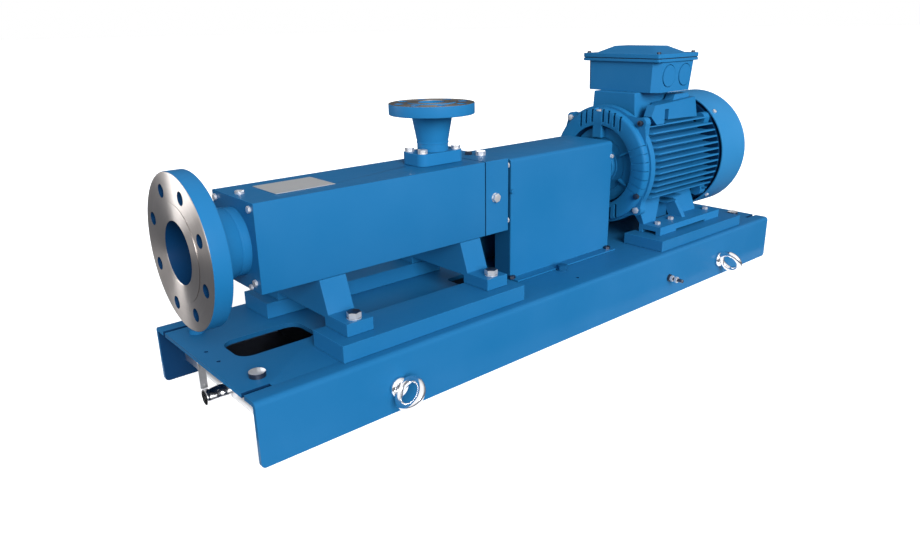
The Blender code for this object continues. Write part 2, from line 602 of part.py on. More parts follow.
def make_fan():
    """Hub and back disc turned as one piece, with straight radial blades."""
    near, front, back = REAR_SHIELD_X[1] + GAP, FAN_DISC_X, FAN_DISC_X + FAN_SHEET
    hub, rim = FAN_HUB, FAN_RIM
    profile = [(near, 0.0), (near, hub - FAN_SHEET), (front, hub), (front, rim), (back, rim), (back, hub),
               (FAN_HUB_END, hub), (FAN_HUB_END, 0.0)]
    plastic = make_material("fan_plastic", (0.05, 0.05, 0.06), 0.5, 0.0)
    fan = add_object("cooling_fan", turned_shape(profile, steps=32), plastic, 40)
    blades = bmesh.new()
    half = FAN_SHEET / 2.0
    low, high = AXIS_Z + hub + 2 * FAN_SHEET, AXIS_Z + rim - half
    for k in range(FAN_BLADES):
        blade = box_shape((front + half, FAN_BLADE_END), (-half, half), (low, high))
        turn = Matrix.Rotation(TAU * k / FAN_BLADES, 3, "X")
        bmesh.ops.rotate(blade, verts=blade.verts, cent=(0, 0, AXIS_Z), matrix=turn)
        mesh = bpy.data.meshes.new("fan_blade")
        blade.to_mesh(mesh)
        blade.free()
        blades.from_mesh(mesh)
        bpy.data.meshes.remove(mesh)
    fuse(fan, "fan_blades", blades)


def octagon(x, half, chamfer):
    near = [(x[0], -half + chamfer), (x[0] + chamfer, -half)]
    near += [(x[1] - chamfer, -half), (x[1], -half + chamfer)]
    return near + [(a, -b) for a, b in reversed(near)]


def loft_shape(lower, low, upper, high):
    """Two like outlines at two heights, joined into one closed body."""
    shape = bmesh.new()
    bottom = [shape.verts.new((x, y, low)) for x, y in lower]
    top = [shape.verts.new((x, y, high)) for x, y in upper]
    count = len(bottom)
    shape.faces.new(list(reversed(bottom)))
    shape.faces.new(top)
    for k in range(count):
        shape.faces.new((bottom[k], bottom[(k + 1) % count], top[(k + 1) % count], top[k]))
    return shape


def rectangle(x, half):
    return [(x[0], -half), (x[1], -half), (x[1], half), (x[0], half)]


def make_terminal_box():
    foot, head = rectangle(NECK_X, NECK_FOOT_HALF), rectangle(NECK_X, NECK_HALF)
    neck = loft_shape(foot, NECK_BOTTOM, head, BOX_BOTTOM - GAP)
    add_object("terminal_box_neck", neck, paint("neck"))
    lower = octagon((BOX_FRONT, BOX_REAR_BOTTOM), BOX_HALF_BOTTOM, BOX_CHAMFER)
    upper = octagon((BOX_FRONT, BOX_REAR_TOP), BOX_HALF_TOP, BOX_CHAMFER)
    body = loft_shape(lower, BOX_BOTTOM, upper, BOX_TOP - GAP)
    add_object("terminal_box", body, paint("terminal_box"))
    lid = loft_shape(rectangle(RIM_X, RIM_HALF), BOX_TOP, rectangle(RIM_X, RIM_HALF), RIM_TOP)
    lid = add_object("terminal_box_lid", lid, paint("lid"))
    foot_x = (RIM_X[0] + DOME_INSET, RIM_X[1] - DOME_INSET)
    crown_x = (foot_x[0] + DOME_SLOPE, foot_x[1] - DOME_SLOPE)
    foot_half = RIM_HALF - DOME_INSET
    crown = rectangle(crown_x, foot_half - DOME_SLOPE)
    dome = loft_shape(rectangle(foot_x, foot_half), RIM_TOP - OVERLAP, crown, DOME_TOP)
    fuse(lid, "lid_dome", dome)


def make_side_blocks():
    for side, word in ((1, "left"), (-1, "right")):
        block = prism_shape(SIDE_BLOCK_LINE, "y", side_span(SIDE_BLOCK_Y, side))
        add_object("lifting_block_" + word, block, paint("lifting_block_" + word))


def collar_shape(x, z, side):
    """The round collar of a lifting eye, flat against the folded side."""
    return rod(bmesh.new(), (x, side * (BASE_HALF + GAP), z), (0, side, 0), (0.0, EYE_COLLAR),
               EYE_COLLAR_RADIUS, 20)


def ring_shape(x, z, side, turn):
    """The ring of a lifting eye: its plane holds the screw's axis and leans by the turn angle."""
    ring = bmesh.new()
    centre = Vector((x, side * (BASE_HALF + EYE_REACH), z))
    axis = Vector((math.cos(turn), 0.0, -math.sin(turn)))
    across = Vector((0, 1, 0))
    circle = arc((0.0, EYE_RING), EYE_WIRE, 0, 360, 8)[:-1]
    verts = [ring.verts.new(centre + axis * a + across * r) for a, r in circle]
    edges = [ring.edges.new((verts[k], verts[(k + 1) % len(verts)])) for k in range(len(verts))]
    bmesh.ops.spin(ring, geom=verts + edges, cent=centre, axis=axis, angle=TAU, steps=20, use_merge=True)
    return ring


def make_eyebolts():
    for x, z, turn, place in ((EYE_FRONT_X, EYE_FRONT_Z, EYE_FRONT_TURN, "front"),
                              (EYE_REAR_X, EYE_REAR_Z, EYE_REAR_TURN, "rear")):
        for side, word in ((1, "left"), (-1, "right")):
            name = "lifting_eye_" + place + "_" + word
            eye = add_object(name, collar_shape(x, z, side), steel(name, 0.12), 35)
            fuse(eye, name + "_ring", ring_shape(x, z, side, turn))


clear_scene()
SET = bpy.data.objects.new("pump_set", None)
bpy.context.scene.collection.objects.link(SET)
SET.location = (-MIDDLE_X, 0.0, 0.0)
make_base()
make_drain()
make_pads()
make_pump_feet()
make_casing()
make_suction_nozzle()
make_discharge_nozzle()
make_guard()
make_coupling()
make_end_shields()
make_motor_frame()
make_motor_feet()
make_cowl()
make_terminal_box()
make_side_blocks()
make_eyebolts()
bpy.context.view_layer.update()
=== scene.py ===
# %% [markdown]
# # A pump set on its base, from plain solids to a finished picture
# The machine is a three-screw pump, a coupling under a sheet guard and an electric motor, all standing on
# one folded plate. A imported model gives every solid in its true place. It is loaded first, as a frame
# that nothing may move, and each visible piece is then built around it, so that the pictures and the
# physics agree.

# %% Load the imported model
import json
import math

import bmesh
import bpy
from mathutils import Matrix, Vector

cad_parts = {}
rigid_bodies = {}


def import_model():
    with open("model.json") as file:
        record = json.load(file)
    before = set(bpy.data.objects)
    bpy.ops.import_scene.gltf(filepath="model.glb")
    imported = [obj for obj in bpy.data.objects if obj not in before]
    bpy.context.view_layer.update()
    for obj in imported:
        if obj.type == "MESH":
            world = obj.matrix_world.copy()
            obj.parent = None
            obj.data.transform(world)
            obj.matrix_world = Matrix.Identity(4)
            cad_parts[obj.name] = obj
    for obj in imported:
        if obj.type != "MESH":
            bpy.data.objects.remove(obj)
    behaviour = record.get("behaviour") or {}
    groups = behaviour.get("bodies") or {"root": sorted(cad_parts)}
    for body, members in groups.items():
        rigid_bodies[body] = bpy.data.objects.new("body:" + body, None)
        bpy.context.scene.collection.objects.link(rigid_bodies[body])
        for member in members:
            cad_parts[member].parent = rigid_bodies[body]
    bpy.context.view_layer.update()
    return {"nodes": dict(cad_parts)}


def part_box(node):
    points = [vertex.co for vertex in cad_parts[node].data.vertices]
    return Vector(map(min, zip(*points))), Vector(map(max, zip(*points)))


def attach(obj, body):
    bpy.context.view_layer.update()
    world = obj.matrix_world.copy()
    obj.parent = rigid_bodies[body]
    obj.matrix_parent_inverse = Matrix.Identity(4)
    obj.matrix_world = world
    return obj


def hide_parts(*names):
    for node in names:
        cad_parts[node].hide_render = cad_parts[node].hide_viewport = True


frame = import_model()
NODES = frame["nodes"]
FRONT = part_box("base_frame")[0].x
shaft_low, shaft_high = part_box("pump_shaft")
AXIS_Z = (shaft_low.z + shaft_high.z) / 2

# %% [markdown]
# ## A workbench of small helpers
# Machine parts come from a few operations: a flat outline pushed along an axis, a profile turned about an
# axis, and a block. All lengths run from the front edge of the base, in metres, and a piece is shifted
# into the frame's place when it is made. Real edges are never razor sharp, so each piece gets a fine
# bevel, which is what catches the light along an edge.

# %% Outlines
TAU = 2 * math.pi
UPRIGHT = (0, 0, 1)
SIDES = ((1, "left"), (-1, "right"))


def arc(centre, radius, start, end, steps):
    """Points of an arc; angles in degrees."""
    turns = [math.radians(start + (end - start) * k / steps) for k in range(steps + 1)]
    return [(centre[0] + radius * math.cos(a), centre[1] + radius * math.sin(a)) for a in turns]


def rounded(points, radii, steps=5):
    """A closed outline with arcs in place of some corners; radii maps a corner's number to its radius."""
    result = []
    for k, point in enumerate(points):
        here = Vector(point)
        back = (Vector(points[k - 1]) - here).normalized()
        ahead = (Vector(points[(k + 1) % len(points)]) - here).normalized()
        radius = radii.get(k, 0) if isinstance(radii, dict) else radii
        if not radius:
            result.append(tuple(here))
            continue
        half = back.angle(ahead) / 2
        centre = here + (back + ahead).normalized() * radius / math.sin(half)
        first = here + back * radius / math.tan(half) - centre
        last = here + ahead * radius / math.tan(half) - centre
        turn = first.angle_signed(last)
        for step in range(steps + 1):
            spoke = first.copy()
            spoke.rotate(Matrix.Rotation(-turn * step / steps, 2))
            result.append(tuple(centre + spoke))
    return result


def mirrored(points):
    return [(-y, z) for y, z in reversed(points)]


def rectangle(x, y):
    return [(x[0], y[0]), (x[1], y[0]), (x[1], y[1]), (x[0], y[1])]


def regular(radius, count):
    """A regular polygon about the origin."""
    return [(radius * math.cos(TAU * k / count), radius * math.sin(TAU * k / count)) for k in range(count)]


print("a rounded square has", len(rounded(rectangle((0, 1), (0, 1)), 0.1)), "points")

# %% Solids from outlines
PLACES = {"x": lambda a, b, c: Vector((c, a, b)), "y": lambda a, b, c: Vector((a, c, b)),
          "z": lambda a, b, c: Vector((a, b, c))}


def push(outline, axis, span, shape=None):
    """Push a flat outline along one axis into a closed solid."""
    shape = shape or bmesh.new()
    place = PLACES[axis]
    face = shape.faces.new([shape.verts.new(place(a, b, span[0])) for a, b in outline])
    pushed = bmesh.ops.extrude_face_region(shape, geom=[face])["geom"]
    far = [item for item in pushed if isinstance(item, bmesh.types.BMVert)]
    bmesh.ops.translate(shape, verts=far, vec=place(0, 0, span[1] - span[0]))
    return shape


def block(x, y, z, shape=None):
    return push(rectangle(x, y), "z", z, shape)


def turned(profile, steps=96, origin=None, axis=(1, 0, 0), shape=None):
    """Spin a closed profile of (along, radius) points about an axis, as on a lathe."""
    shape = shape or bmesh.new()
    origin = Vector(origin or (0, 0, AXIS_Z))
    along = Vector(axis).normalized()
    across = along.orthogonal().normalized() if abs(along.x) < 0.999 else Vector((0, 0, 1))
    verts = [shape.verts.new(origin + along * a + across * r) for a, r in profile]
    edges = [shape.edges.new((verts[k], verts[(k + 1) % len(verts)])) for k in range(len(verts))]
    bmesh.ops.spin(shape, geom=verts + edges, cent=origin, axis=along, angle=TAU, steps=steps, use_merge=True)
    bmesh.ops.remove_doubles(shape, verts=shape.verts, dist=1e-6)
    bmesh.ops.dissolve_degenerate(shape, edges=shape.edges, dist=1e-6)
    return shape


def rod(span, radius, steps=32, origin=None, axis=(1, 0, 0), shape=None):
    profile = [(span[0], 0), (span[0], radius), (span[1], radius), (span[1], 0)]
    return turned(profile, steps, origin, axis, shape)


def loft(lower, low, upper, high):
    """Join two like outlines at two heights."""
    shape = bmesh.new()
    bottom = [shape.verts.new((x, y, low)) for x, y in lower]
    top = [shape.verts.new((x, y, high)) for x, y in upper]
    shape.faces.new(bottom)
    shape.faces.new(top)
    for k in range(len(bottom)):
        after = (k + 1) % len(bottom)
        shape.faces.new((bottom[k], bottom[after], top[after], top[k]))
    return shape


# %% Objects, bevels and cuts
def ends(node):
    """Where a solid of the model starts and ends, from the base's front edge."""
    low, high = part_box(node)
    return low.x - FRONT, high.x - FRONT


def add_object(name, data):
    thing = bpy.data.objects.new(name, data)
    bpy.context.scene.collection.objects.link(thing)
    return thing


def size_of(thing):
    return [round(v, 3) for v in thing.dimensions]


def make_object(name, shape):
    bmesh.ops.remove_doubles(shape, verts=shape.verts, dist=1e-6)
    bmesh.ops.recalc_face_normals(shape, faces=shape.faces)
    bmesh.ops.translate(shape, verts=shape.verts, vec=(FRONT, 0, 0))
    mesh = bpy.data.meshes.new(name)
    shape.to_mesh(mesh)
    shape.free()
    return add_object(name, mesh)


def carve(thing, shape, operation="DIFFERENCE"):
    """Cut a helper shape out of an object, or join it on, at once."""
    tool = make_object("tool", shape)
    change = thing.modifiers.new("carve", "BOOLEAN")
    change.operation = operation
    change.solver = "EXACT"
    change.use_self = True
    change.object = tool
    graph = bpy.context.evaluated_depsgraph_get()
    mesh = bpy.data.meshes.new_from_object(thing.evaluated_get(graph))
    thing.modifiers.clear()
    thing.data = mesh
    bpy.data.objects.remove(tool, do_unlink=True)
    return thing


def finish_edges(thing, bevel, smooth, segments):
    thing.data.shade_smooth()
    thing.data.set_sharp_from_angle(angle=math.radians(smooth))
    if bevel:
        edge = thing.modifiers.new("edge", "BEVEL")
        edge.width = bevel
        edge.segments = segments
        edge.limit_method = "ANGLE"
        edge.angle_limit = math.radians(smooth)
        edge.harden_normals = True
        edge.miter_outer = "MITER_ARC"


def dress(thing, material, bevel=0.0008, smooth=32, segments=2, node=None):
    """Give a piece its finish and edges, and hand it to the frame."""
    thing.data.materials.clear()
    thing.data.materials.append(material)
    finish_edges(thing, bevel, smooth, segments)
    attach(thing, "root")
    if node:
        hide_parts(node)
    return thing


def raw_copy(node):
    """A copy of a CAD solid with its flat faces whole again."""
    shape = bmesh.new()
    shape.from_mesh(NODES[node].data)
    bmesh.ops.remove_doubles(shape, verts=shape.verts, dist=1e-5)
    bmesh.ops.dissolve_limit(shape, angle_limit=math.radians(0.5), verts=shape.verts, edges=shape.edges)
    bmesh.ops.translate(shape, verts=shape.verts, vec=(-FRONT, 0, 0))
    return make_object(node + "_skin", shape)


def soften(node, material, bevel=0.001, segments=2):
    """The same copy with its edges eased."""
    return dress(raw_copy(node), material, bevel, segments=segments, node=node)


def second_finish(thing, material, wanted):
    """Give the faces that the test picks a second material."""
    thing.data.materials.append(material)
    slot = len(thing.data.materials) - 1
    count = 0
    for face in thing.data.polygons:
        if wanted(face):
            face.material_index = slot
            count += 1
    return count


print("helpers ready")

# %% [markdown]
# ## Shared effects
# Sprayed paint is never perfectly even: its tone drifts over a hand's width, and its surface has the fine
# ripple called orange peel. Turned steel shows circles left by the tool, and rolled steel shows lines
# along one way. Each effect is a node group with named sockets, built once and set to its own values in
# every material.


# %% Group helpers
FLOAT, COLOR, VECTOR = "NodeSocketFloat", "NodeSocketColor", "NodeSocketVector"


def feed(tree, node, inputs):
    """Give a node's inputs their values, or the sockets that drive them."""
    for label, value in inputs.items():
        if isinstance(value, bpy.types.NodeSocket):
            tree.links.new(value, node.inputs[label])
        else:
            node.inputs[label].default_value = value


def add_node(tree, kind, inputs=None, **settings):
    node = tree.nodes.new(kind)
    for key, value in settings.items():
        setattr(node, key, value)
    feed(tree, node, inputs or {})
    return node


def maths(tree, operation, *values):
    return add_node(tree, "ShaderNodeMath", dict(enumerate(values)), operation=operation).outputs[0]


def vector_maths(tree, operation, *values):
    return add_node(tree, "ShaderNodeVectorMath", dict(enumerate(values)), operation=operation).outputs


def noise(tree, vector, scale, detail=3.0, rough=0.5):
    inputs = {"Vector": vector, "Scale": scale, "Detail": detail, "Roughness": rough}
    return add_node(tree, "ShaderNodeTexNoise", inputs).outputs["Fac"]


def new_group(name, *inputs):
    """A group that turns its inputs into a colour, a roughness and a height."""
    group = bpy.data.node_groups.new(name, "ShaderNodeTree")
    for label, kind, value in inputs:
        socket = group.interface.new_socket(label, in_out="INPUT", socket_type=kind)
        if value is not None:
            socket.default_value = value
    for label, kind in (("Colour", COLOR), ("Roughness", FLOAT), ("Height", FLOAT)):
        group.interface.new_socket(label, in_out="OUTPUT", socket_type=kind)
    return group, group.nodes.new("NodeGroupInput").outputs, group.nodes.new("NodeGroupOutput")


print("group helpers ready")

# %% Sprayed coat
coat, given, coat_out = new_group(
    "sprayed_coat", ("Colour", COLOR, (0.02, 0.2, 0.5, 1)), ("Drift", FLOAT, 0.06),
    ("Peel scale", FLOAT, 500.0), ("Grain", FLOAT, 0.3), ("Roughness", FLOAT, 0.4), ("Vector", VECTOR, None))
lift = maths(coat, "MULTIPLY", maths(coat, "SUBTRACT", noise(coat, given["Vector"], 5.0, 4.0), 0.5),
             given["Drift"])
tone = add_node(coat, "ShaderNodeHueSaturation", {
    "Color": given["Colour"], "Value": maths(coat, "ADD", maths(coat, "MULTIPLY", lift, 4.0), 1.0),
    "Saturation": maths(coat, "SUBTRACT", 1.0, lift)})
peel = noise(coat, given["Vector"], given["Peel scale"], 2.0)
grain = noise(coat, given["Vector"], 1400.0, 2.0)
patch = maths(coat, "SUBTRACT", noise(coat, given["Vector"], 22.0), 0.5)
feed(coat, coat_out, {
    "Colour": tone.outputs["Color"],
    "Roughness": maths(coat, "ADD", given["Roughness"], maths(coat, "MULTIPLY", patch, 0.16)),
    "Height": maths(coat, "ADD", peel, maths(coat, "MULTIPLY", grain, given["Grain"]))})
print("sprayed_coat:", [item.name for item in coat.interface.items_tree])

# %% Circles left by turning
rings, given, rings_out = new_group(
    "turning_marks", ("Vector", VECTOR, None), ("Centre", VECTOR, None), ("Axis mask", VECTOR, (0, 1, 1)),
    ("Pitch scale", FLOAT, 2500.0), ("Colour", COLOR, (0.6, 0.6, 0.62, 1)), ("Roughness", FLOAT, 0.3))
away = vector_maths(rings, "SUBTRACT", given["Vector"], given["Centre"])[0]
flat = vector_maths(rings, "MULTIPLY", away, given["Axis mask"])[0]
radius = vector_maths(rings, "LENGTH", flat)["Value"]
spread = add_node(rings, "ShaderNodeCombineXYZ", {0: radius}).outputs[0]
fine = noise(rings, spread, given["Pitch scale"], 3.0, 0.7)
shade = maths(rings, "ADD", maths(rings, "MULTIPLY", noise(rings, spread, 180.0, 2.0), 0.2),
              maths(rings, "MULTIPLY", noise(rings, given["Vector"], 30.0, 3.0), 0.14))
tone = add_node(rings, "ShaderNodeHueSaturation",
                {"Color": given["Colour"], "Value": maths(rings, "ADD", shade, 0.83)})
feed(rings, rings_out, {
    "Colour": tone.outputs["Color"], "Height": fine,
    "Roughness": maths(rings, "ADD", maths(rings, "MULTIPLY", fine, 0.16), given["Roughness"])})
print("turning_marks:", [item.name for item in rings.interface.items_tree])

# %% Lines left by rolling
rolled, given, rolled_out = new_group(
    "rolled_sheet", ("Vector", VECTOR, None), ("Stretch", VECTOR, (6, 300, 300)),
    ("Colour", COLOR, (0.7, 0.7, 0.72, 1)), ("Roughness", FLOAT, 0.3))
lines = noise(rolled, vector_maths(rolled, "MULTIPLY", given["Vector"], given["Stretch"])[0], 4.0, 3.0, 0.6)
cloud = noise(rolled, given["Vector"], 14.0, 3.0)
shade = maths(rolled, "MULTIPLY", maths(rolled, "ADD", lines, cloud), 0.1)
tone = add_node(rolled, "ShaderNodeHueSaturation",
                {"Color": given["Colour"], "Value": maths(rolled, "ADD", shade, 0.9)})
feed(rolled, rolled_out, {
    "Colour": tone.outputs["Color"], "Height": lines,
    "Roughness": maths(rolled, "ADD", maths(rolled, "MULTIPLY", lines, 0.18), given["Roughness"])})
print("rolled_sheet:", [item.name for item in rolled.interface.items_tree])

# %% [markdown]
# ## The finishes
# The whole set wears one mid-blue satin coat, smooth on the plates and a little coarser on the motor's
# cast parts. Two darker copies of that blue are painted shade, for bores, recesses, hidden sides and gaps,
# and a lighter copy on the cowl is painted light. Flange faces are turned bright steel, bolts are zinc
# plated, and lifting eyes and drain pipe are polished. Values that are the same all over a surface are set
# on the shader itself, and what changes over it comes from the groups.


# %% Material helpers
BUMP_REACH = 0.0002


def new_finish(name, group, colour, roughness, bump, plain, **values):
    """Plain values go straight to the shader; colour, roughness and fine relief come from a group."""
    material = bpy.data.materials.new(name)
    material.use_nodes = True
    tree = material.node_tree
    place = add_node(tree, "ShaderNodeTexCoord").outputs["Object"]
    inputs = {"Vector": place, "Colour": (*colour, 1), "Roughness": roughness}
    inputs.update({label.replace("_", " "): value for label, value in values.items()})
    marks = add_node(tree, "ShaderNodeGroup", node_tree=group)
    feed(tree, marks, inputs)
    dents = add_node(tree, "ShaderNodeBump",
                     {"Strength": bump, "Distance": BUMP_REACH, "Height": marks.outputs["Height"]})
    feed(tree, tree.nodes["Principled BSDF"], {
        **plain, "Base Color": marks.outputs["Colour"], "Roughness": marks.outputs["Roughness"],
        "Normal": dents.outputs["Normal"]})
    return material


def painted(name, colour, roughness, bump, **values):
    return new_finish(name, coat, colour, roughness, bump, {"Specular IOR Level": 0.06}, **values)


def steel(name, group, colour, roughness, bump, metallic=1.0, **values):
    return new_finish(name, group, colour, roughness, bump, {"Metallic": metallic}, **values)


def turned_face(name, axis, stretch, **values):
    """Steel cut on a lathe: its shine is drawn out across the grooves, to the centre and away from it."""
    material = steel(name, rings, (0.42, 0.385, 0.365), 0.27, 0.1, **values)
    tree = material.node_tree
    groove = add_node(tree, "ShaderNodeTangent", direction_type="RADIAL", axis=axis)
    feed(tree, tree.nodes["Principled BSDF"], {
        "Anisotropic": stretch, "Anisotropic Rotation": 0.25, "Tangent": groove.outputs["Tangent"]})
    return material


print("material helpers ready")

# %% Paints
BLUE = (0.013, 0.13, 0.305)
# PAINTED_SHADE_BLUE is the blue in deep shade: its paint is painted shade in recesses, bores and gaps, and
# also marks the dark joint at the end block.
PAINTED_SHADE_BLUE = (0.003, 0.028, 0.085)
plate_paint = painted("plate_paint", BLUE, 0.36, 0.1, Drift=0.05, Grain=0.2)
cast_paint = painted("cast_paint", BLUE, 0.4, 0.22, Drift=0.07, Grain=0.8, Peel_scale=380.0)
shade_and_joint_paint = painted("shade_and_joint_paint", PAINTED_SHADE_BLUE, 0.45, 0.15, Drift=0.08)
# A lighter painted shade, for walls and plates that stand in half shade.
half_shade_paint = painted("half_shade_paint", (0.007, 0.075, 0.185), 0.42, 0.12, Drift=0.06)
# The cowl's blue is a lighter copy of the coat: painted light on its sunlit sheet.
painted_light_cowl_paint = painted("painted_light_cowl_paint", (0.025, 0.185, 0.405), 0.34, 0.08, Drift=0.05, Grain=0.2)
print("paints", plate_paint.name, cast_paint.name, shade_and_joint_paint.name, painted_light_cowl_paint.name)

# %% Bare metals
shaft_line = (0.0, 0.0, AXIS_Z)
flange_steel = turned_face("turned_flange_steel", "X", 0.85, Centre=shaft_line)
shaft_steel = steel("shaft_steel", rings, (0.52, 0.52, 0.54), 0.28, 0.06, Centre=shaft_line)
zinc_steel = steel("zinc_plated_steel", rolled, (0.7, 0.7, 0.72), 0.22, 0.05, 0.65, Stretch=(60, 60, 60))
# Black oiled steel for some bolts, and also painted shade inside the tray and on dark faces of some zinc
# heads.
oiled_and_shade_steel = steel("oiled_steel_and_painted_shade", rolled, (0.1, 0.11, 0.14), 0.3, 0.05, Stretch=(60, 60, 60))
bright_steel = steel("polished_steel", rolled, (0.8, 0.8, 0.82), 0.05, 0.02, Stretch=(20, 60, 60))
stainless = steel("rolled_stainless", rolled, (0.72, 0.72, 0.73), 0.26, 0.06)
plate_metal = steel("rating_plate_metal", rolled, (0.7, 0.71, 0.73), 0.42, 0.08, Stretch=(90, 90, 90))
print("metals", len([m for m in bpy.data.materials if "steel" in m.name or "stainless" in m.name]))

# %% Rubber and plastic
rubber = painted("coupling_rubber", (0.02, 0.02, 0.022), 0.62, 0.25, Drift=0.1, Grain=0.9)
plastic = painted("fan_plastic", (0.035, 0.037, 0.042), 0.45, 0.15, Drift=0.08, Grain=0.6)
print("soft finishes", rubber.name, plastic.name)

# %% [markdown]
# ## The folded base
# One thick plate is folded down along both long sides. Where a fold meets an end, a slot is cut first so
# that the sheet doesn't tear, and that slot stays to be seen. The solid from the model already has nearly
# all of it, so a copy with eased edges and one more small hole is enough here. The fold's inner side and
# the walls of its openings lie in shade, and that shade is painted on with the darker paints. The pads
# welded to the base are finished in the same way.

# %% Base and pads
BASE_TOP, BASE_HALF, PLATE = 0.11, 0.197, 0.008
MARGIN = 0.001
base = raw_copy("base_frame")
carve(base, rod((BASE_TOP - 0.02, BASE_TOP + 0.01), 0.0035, 24, (0.761, -0.161, 0), UPRIGHT))
dress(base, plate_paint, bevel=0.0006, smooth=50, node="base_frame")
SLOT_REACH, OPENING_HALF = 0.045, 0.1


def in_fold(face):
    """The inner side of the fold, without the plate's cut ends."""
    spot = face.center
    return (spot.z < BASE_TOP - PLATE + MARGIN / 2 and abs(spot.y) < BASE_HALF - PLATE + MARGIN / 2
            and abs(face.normal.x) < 0.9)


def in_cut(face):
    """An upright wall of an opening in the top plate."""
    spot = face.center
    return (abs(face.normal.z) < 0.3 and BASE_TOP - PLATE - MARGIN < spot.z < BASE_TOP - MARGIN
            and MARGIN < spot.x - FRONT < base.dimensions.x - MARGIN
            and abs(spot.y) < BASE_HALF - PLATE + MARGIN)


def in_small_cut(face):
    """A wall of a small hole, or of the slot where a fold ends."""
    return in_cut(face) and (face.center.x < FRONT + SLOT_REACH or abs(face.center.y) > OPENING_HALF)


# Painted shade: the fold's inside and the walls of small holes and slots get the deep blue, the opening's
# walls the lighter shade blue.
for paint, wanted in ((shade_and_joint_paint, in_fold), (half_shade_paint, in_cut), (shade_and_joint_paint, in_small_cut)):
    print("base faces in", paint.name, second_finish(base, paint, wanted))
for node in ("pump_pad_left", "pump_pad_right", "motor_pad_left", "motor_pad_right"):
    soften(node, plate_paint, bevel=0.0012)
print("base", size_of(base))

# %% [markdown]
# ## Drip tray and drain
# Leaks run through the plate's opening into a thin stainless tray, and out of its polished pipe at the
# front. The pipe is turned with a rolled bead at its end, and a flat strap hangs it from the plate.

# %% Tray, pipe and strap
tray = soften("drip_tray", stainless, bevel=0.0005)
tray_low, tray_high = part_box("drip_tray")


def inside_tray(face):
    spot = face.center
    return (tray_low.x + MARGIN < spot.x < tray_high.x - MARGIN and abs(spot.y) < tray_high.y - MARGIN
            and tray_low.z + MARGIN < spot.z < tray_high.z - MARGIN / 2)


# Painted shade: the tray's inside faces get black steel, so the opening looks dark.
tray_shade_faces = second_finish(tray, oiled_and_shade_steel, inside_tray)
soften("drain_strap", stainless, bevel=0.0003)
pipe_low, pipe_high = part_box("drain_pipe")
PIPE_Z = (pipe_low.z + pipe_high.z) / 2
PIPE_END = pipe_high.x - FRONT
PIPE, BEAD = 0.0144, 0.015
pipe_profile = [(0.0, 0.0124), (0.0006, 0.0146), (0.003, BEAD), (0.006, BEAD), (0.0075, PIPE),
                (PIPE_END - 0.016, PIPE), (PIPE_END - 0.015, BEAD), (PIPE_END, BEAD), (PIPE_END, 0.0125)]
drain = make_object("drain_pipe_skin", turned(pipe_profile, 64, (0, 0, PIPE_Z)))
dress(drain, bright_steel, 0.0003, node="drain_pipe")
print("drain pipe length", round(drain.dimensions.x, 4), "tray faces inside", tray_shade_faces)

# %% [markdown]
# ## Pump feet and casing
# Each foot is a saddle: a web under the square casing that spreads to two bolted blocks. The casing is a
# long machined block with a separate end block at the drive end, and the thin line between the two is a
# real joint.

# %% Feet, casing and end block
for node in ("pump_foot_front", "pump_foot_rear"):
    soften(node, plate_paint, bevel=0.0012)
casing = soften("pump_casing", plate_paint, bevel=0.0008)
end_block = raw_copy("drive_end_block")
end_low, end_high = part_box("drive_end_block")
JOINT_X, JOINT_DEPTH = end_low.x - FRONT + 0.0018, 0.0035
JOINT_Y = end_high.y - JOINT_DEPTH
BEYOND_Y, BEYOND_Z = (-0.1, 0.1), (0.2, 0.4)
joint = bmesh.new()
for y, z in (((BEYOND_Y[0], -JOINT_Y), BEYOND_Z), ((JOINT_Y, BEYOND_Y[1]), BEYOND_Z),
             (BEYOND_Y, (BEYOND_Z[0], end_low.z + JOINT_DEPTH)),
             (BEYOND_Y, (end_high.z - JOINT_DEPTH, BEYOND_Z[1]))):
    block((JOINT_X - 0.005, JOINT_X), y, z, joint)
carve(end_block, joint)
dress(end_block, plate_paint, bevel=0.0006, node="drive_end_block")
second_finish(end_block, shade_and_joint_paint, lambda face: face.center.x - FRONT < JOINT_X + 0.0001)
soften("rating_plate", plate_metal, bevel=0.0002)
print("casing", size_of(casing))

# %% [markdown]
# ## Suction flange
# A steel flange is turned all over its face: a raised ring that seals, a step, and the outer band with
# eight bolt holes. The coat stops at the face's edge, so the face gets its own metal. A profile is spun
# about the shaft line, and the holes are cut through it.


# %% A flange with two finishes
BOLT_HOLES = 8


def bolt_circle(circle, radius, place, axis, span):
    holes = bmesh.new()
    for k in range(BOLT_HOLES):
        angle = TAU * (k + 0.5) / BOLT_HOLES
        rod(span, radius, 32, place(circle * math.cos(angle), circle * math.sin(angle)), axis, holes)
    return holes


INLET, INLET_BACK = ends("suction_nozzle")
INLET_STEP, INLET_DISC = INLET + 0.0008, 0.0222
INLET_BORE, INLET_RAISED, INLET_RIM, INLET_NECK = 0.0508, 0.0785, 0.127, 0.0572
inlet_profile = [(INLET, INLET_BORE), (INLET, INLET_RAISED), (INLET_STEP, INLET_RAISED),
                 (INLET_STEP, INLET_RIM), (INLET_DISC, INLET_RIM), (INLET_DISC, 0.0735), (0.068, 0.058),
                 (0.07, INLET_NECK), (0.0704, 0.0579), (0.0731, 0.0579), (0.0735, INLET_NECK),
                 (INLET_BACK, INLET_NECK), (INLET_BACK, INLET_BORE)]
inlet_profile = rounded(inlet_profile, {0: 0.0015, 3: 0.0026, 4: 0.003, 5: 0.0045}, 5)
inlet = make_object("suction_nozzle_skin", turned(inlet_profile, 128))
carve(inlet, bolt_circle(0.1, 0.011, lambda a, b: (0, a, AXIS_Z + b), (1, 0, 0), (INLET - 0.01, 0.03)))
dress(inlet, cast_paint, bevel=0.0004, smooth=40, node="suction_nozzle")


def from_shaft(face):
    """A face's distance from the shaft line."""
    return math.hypot(face.center.y, face.center.z - AXIS_Z)


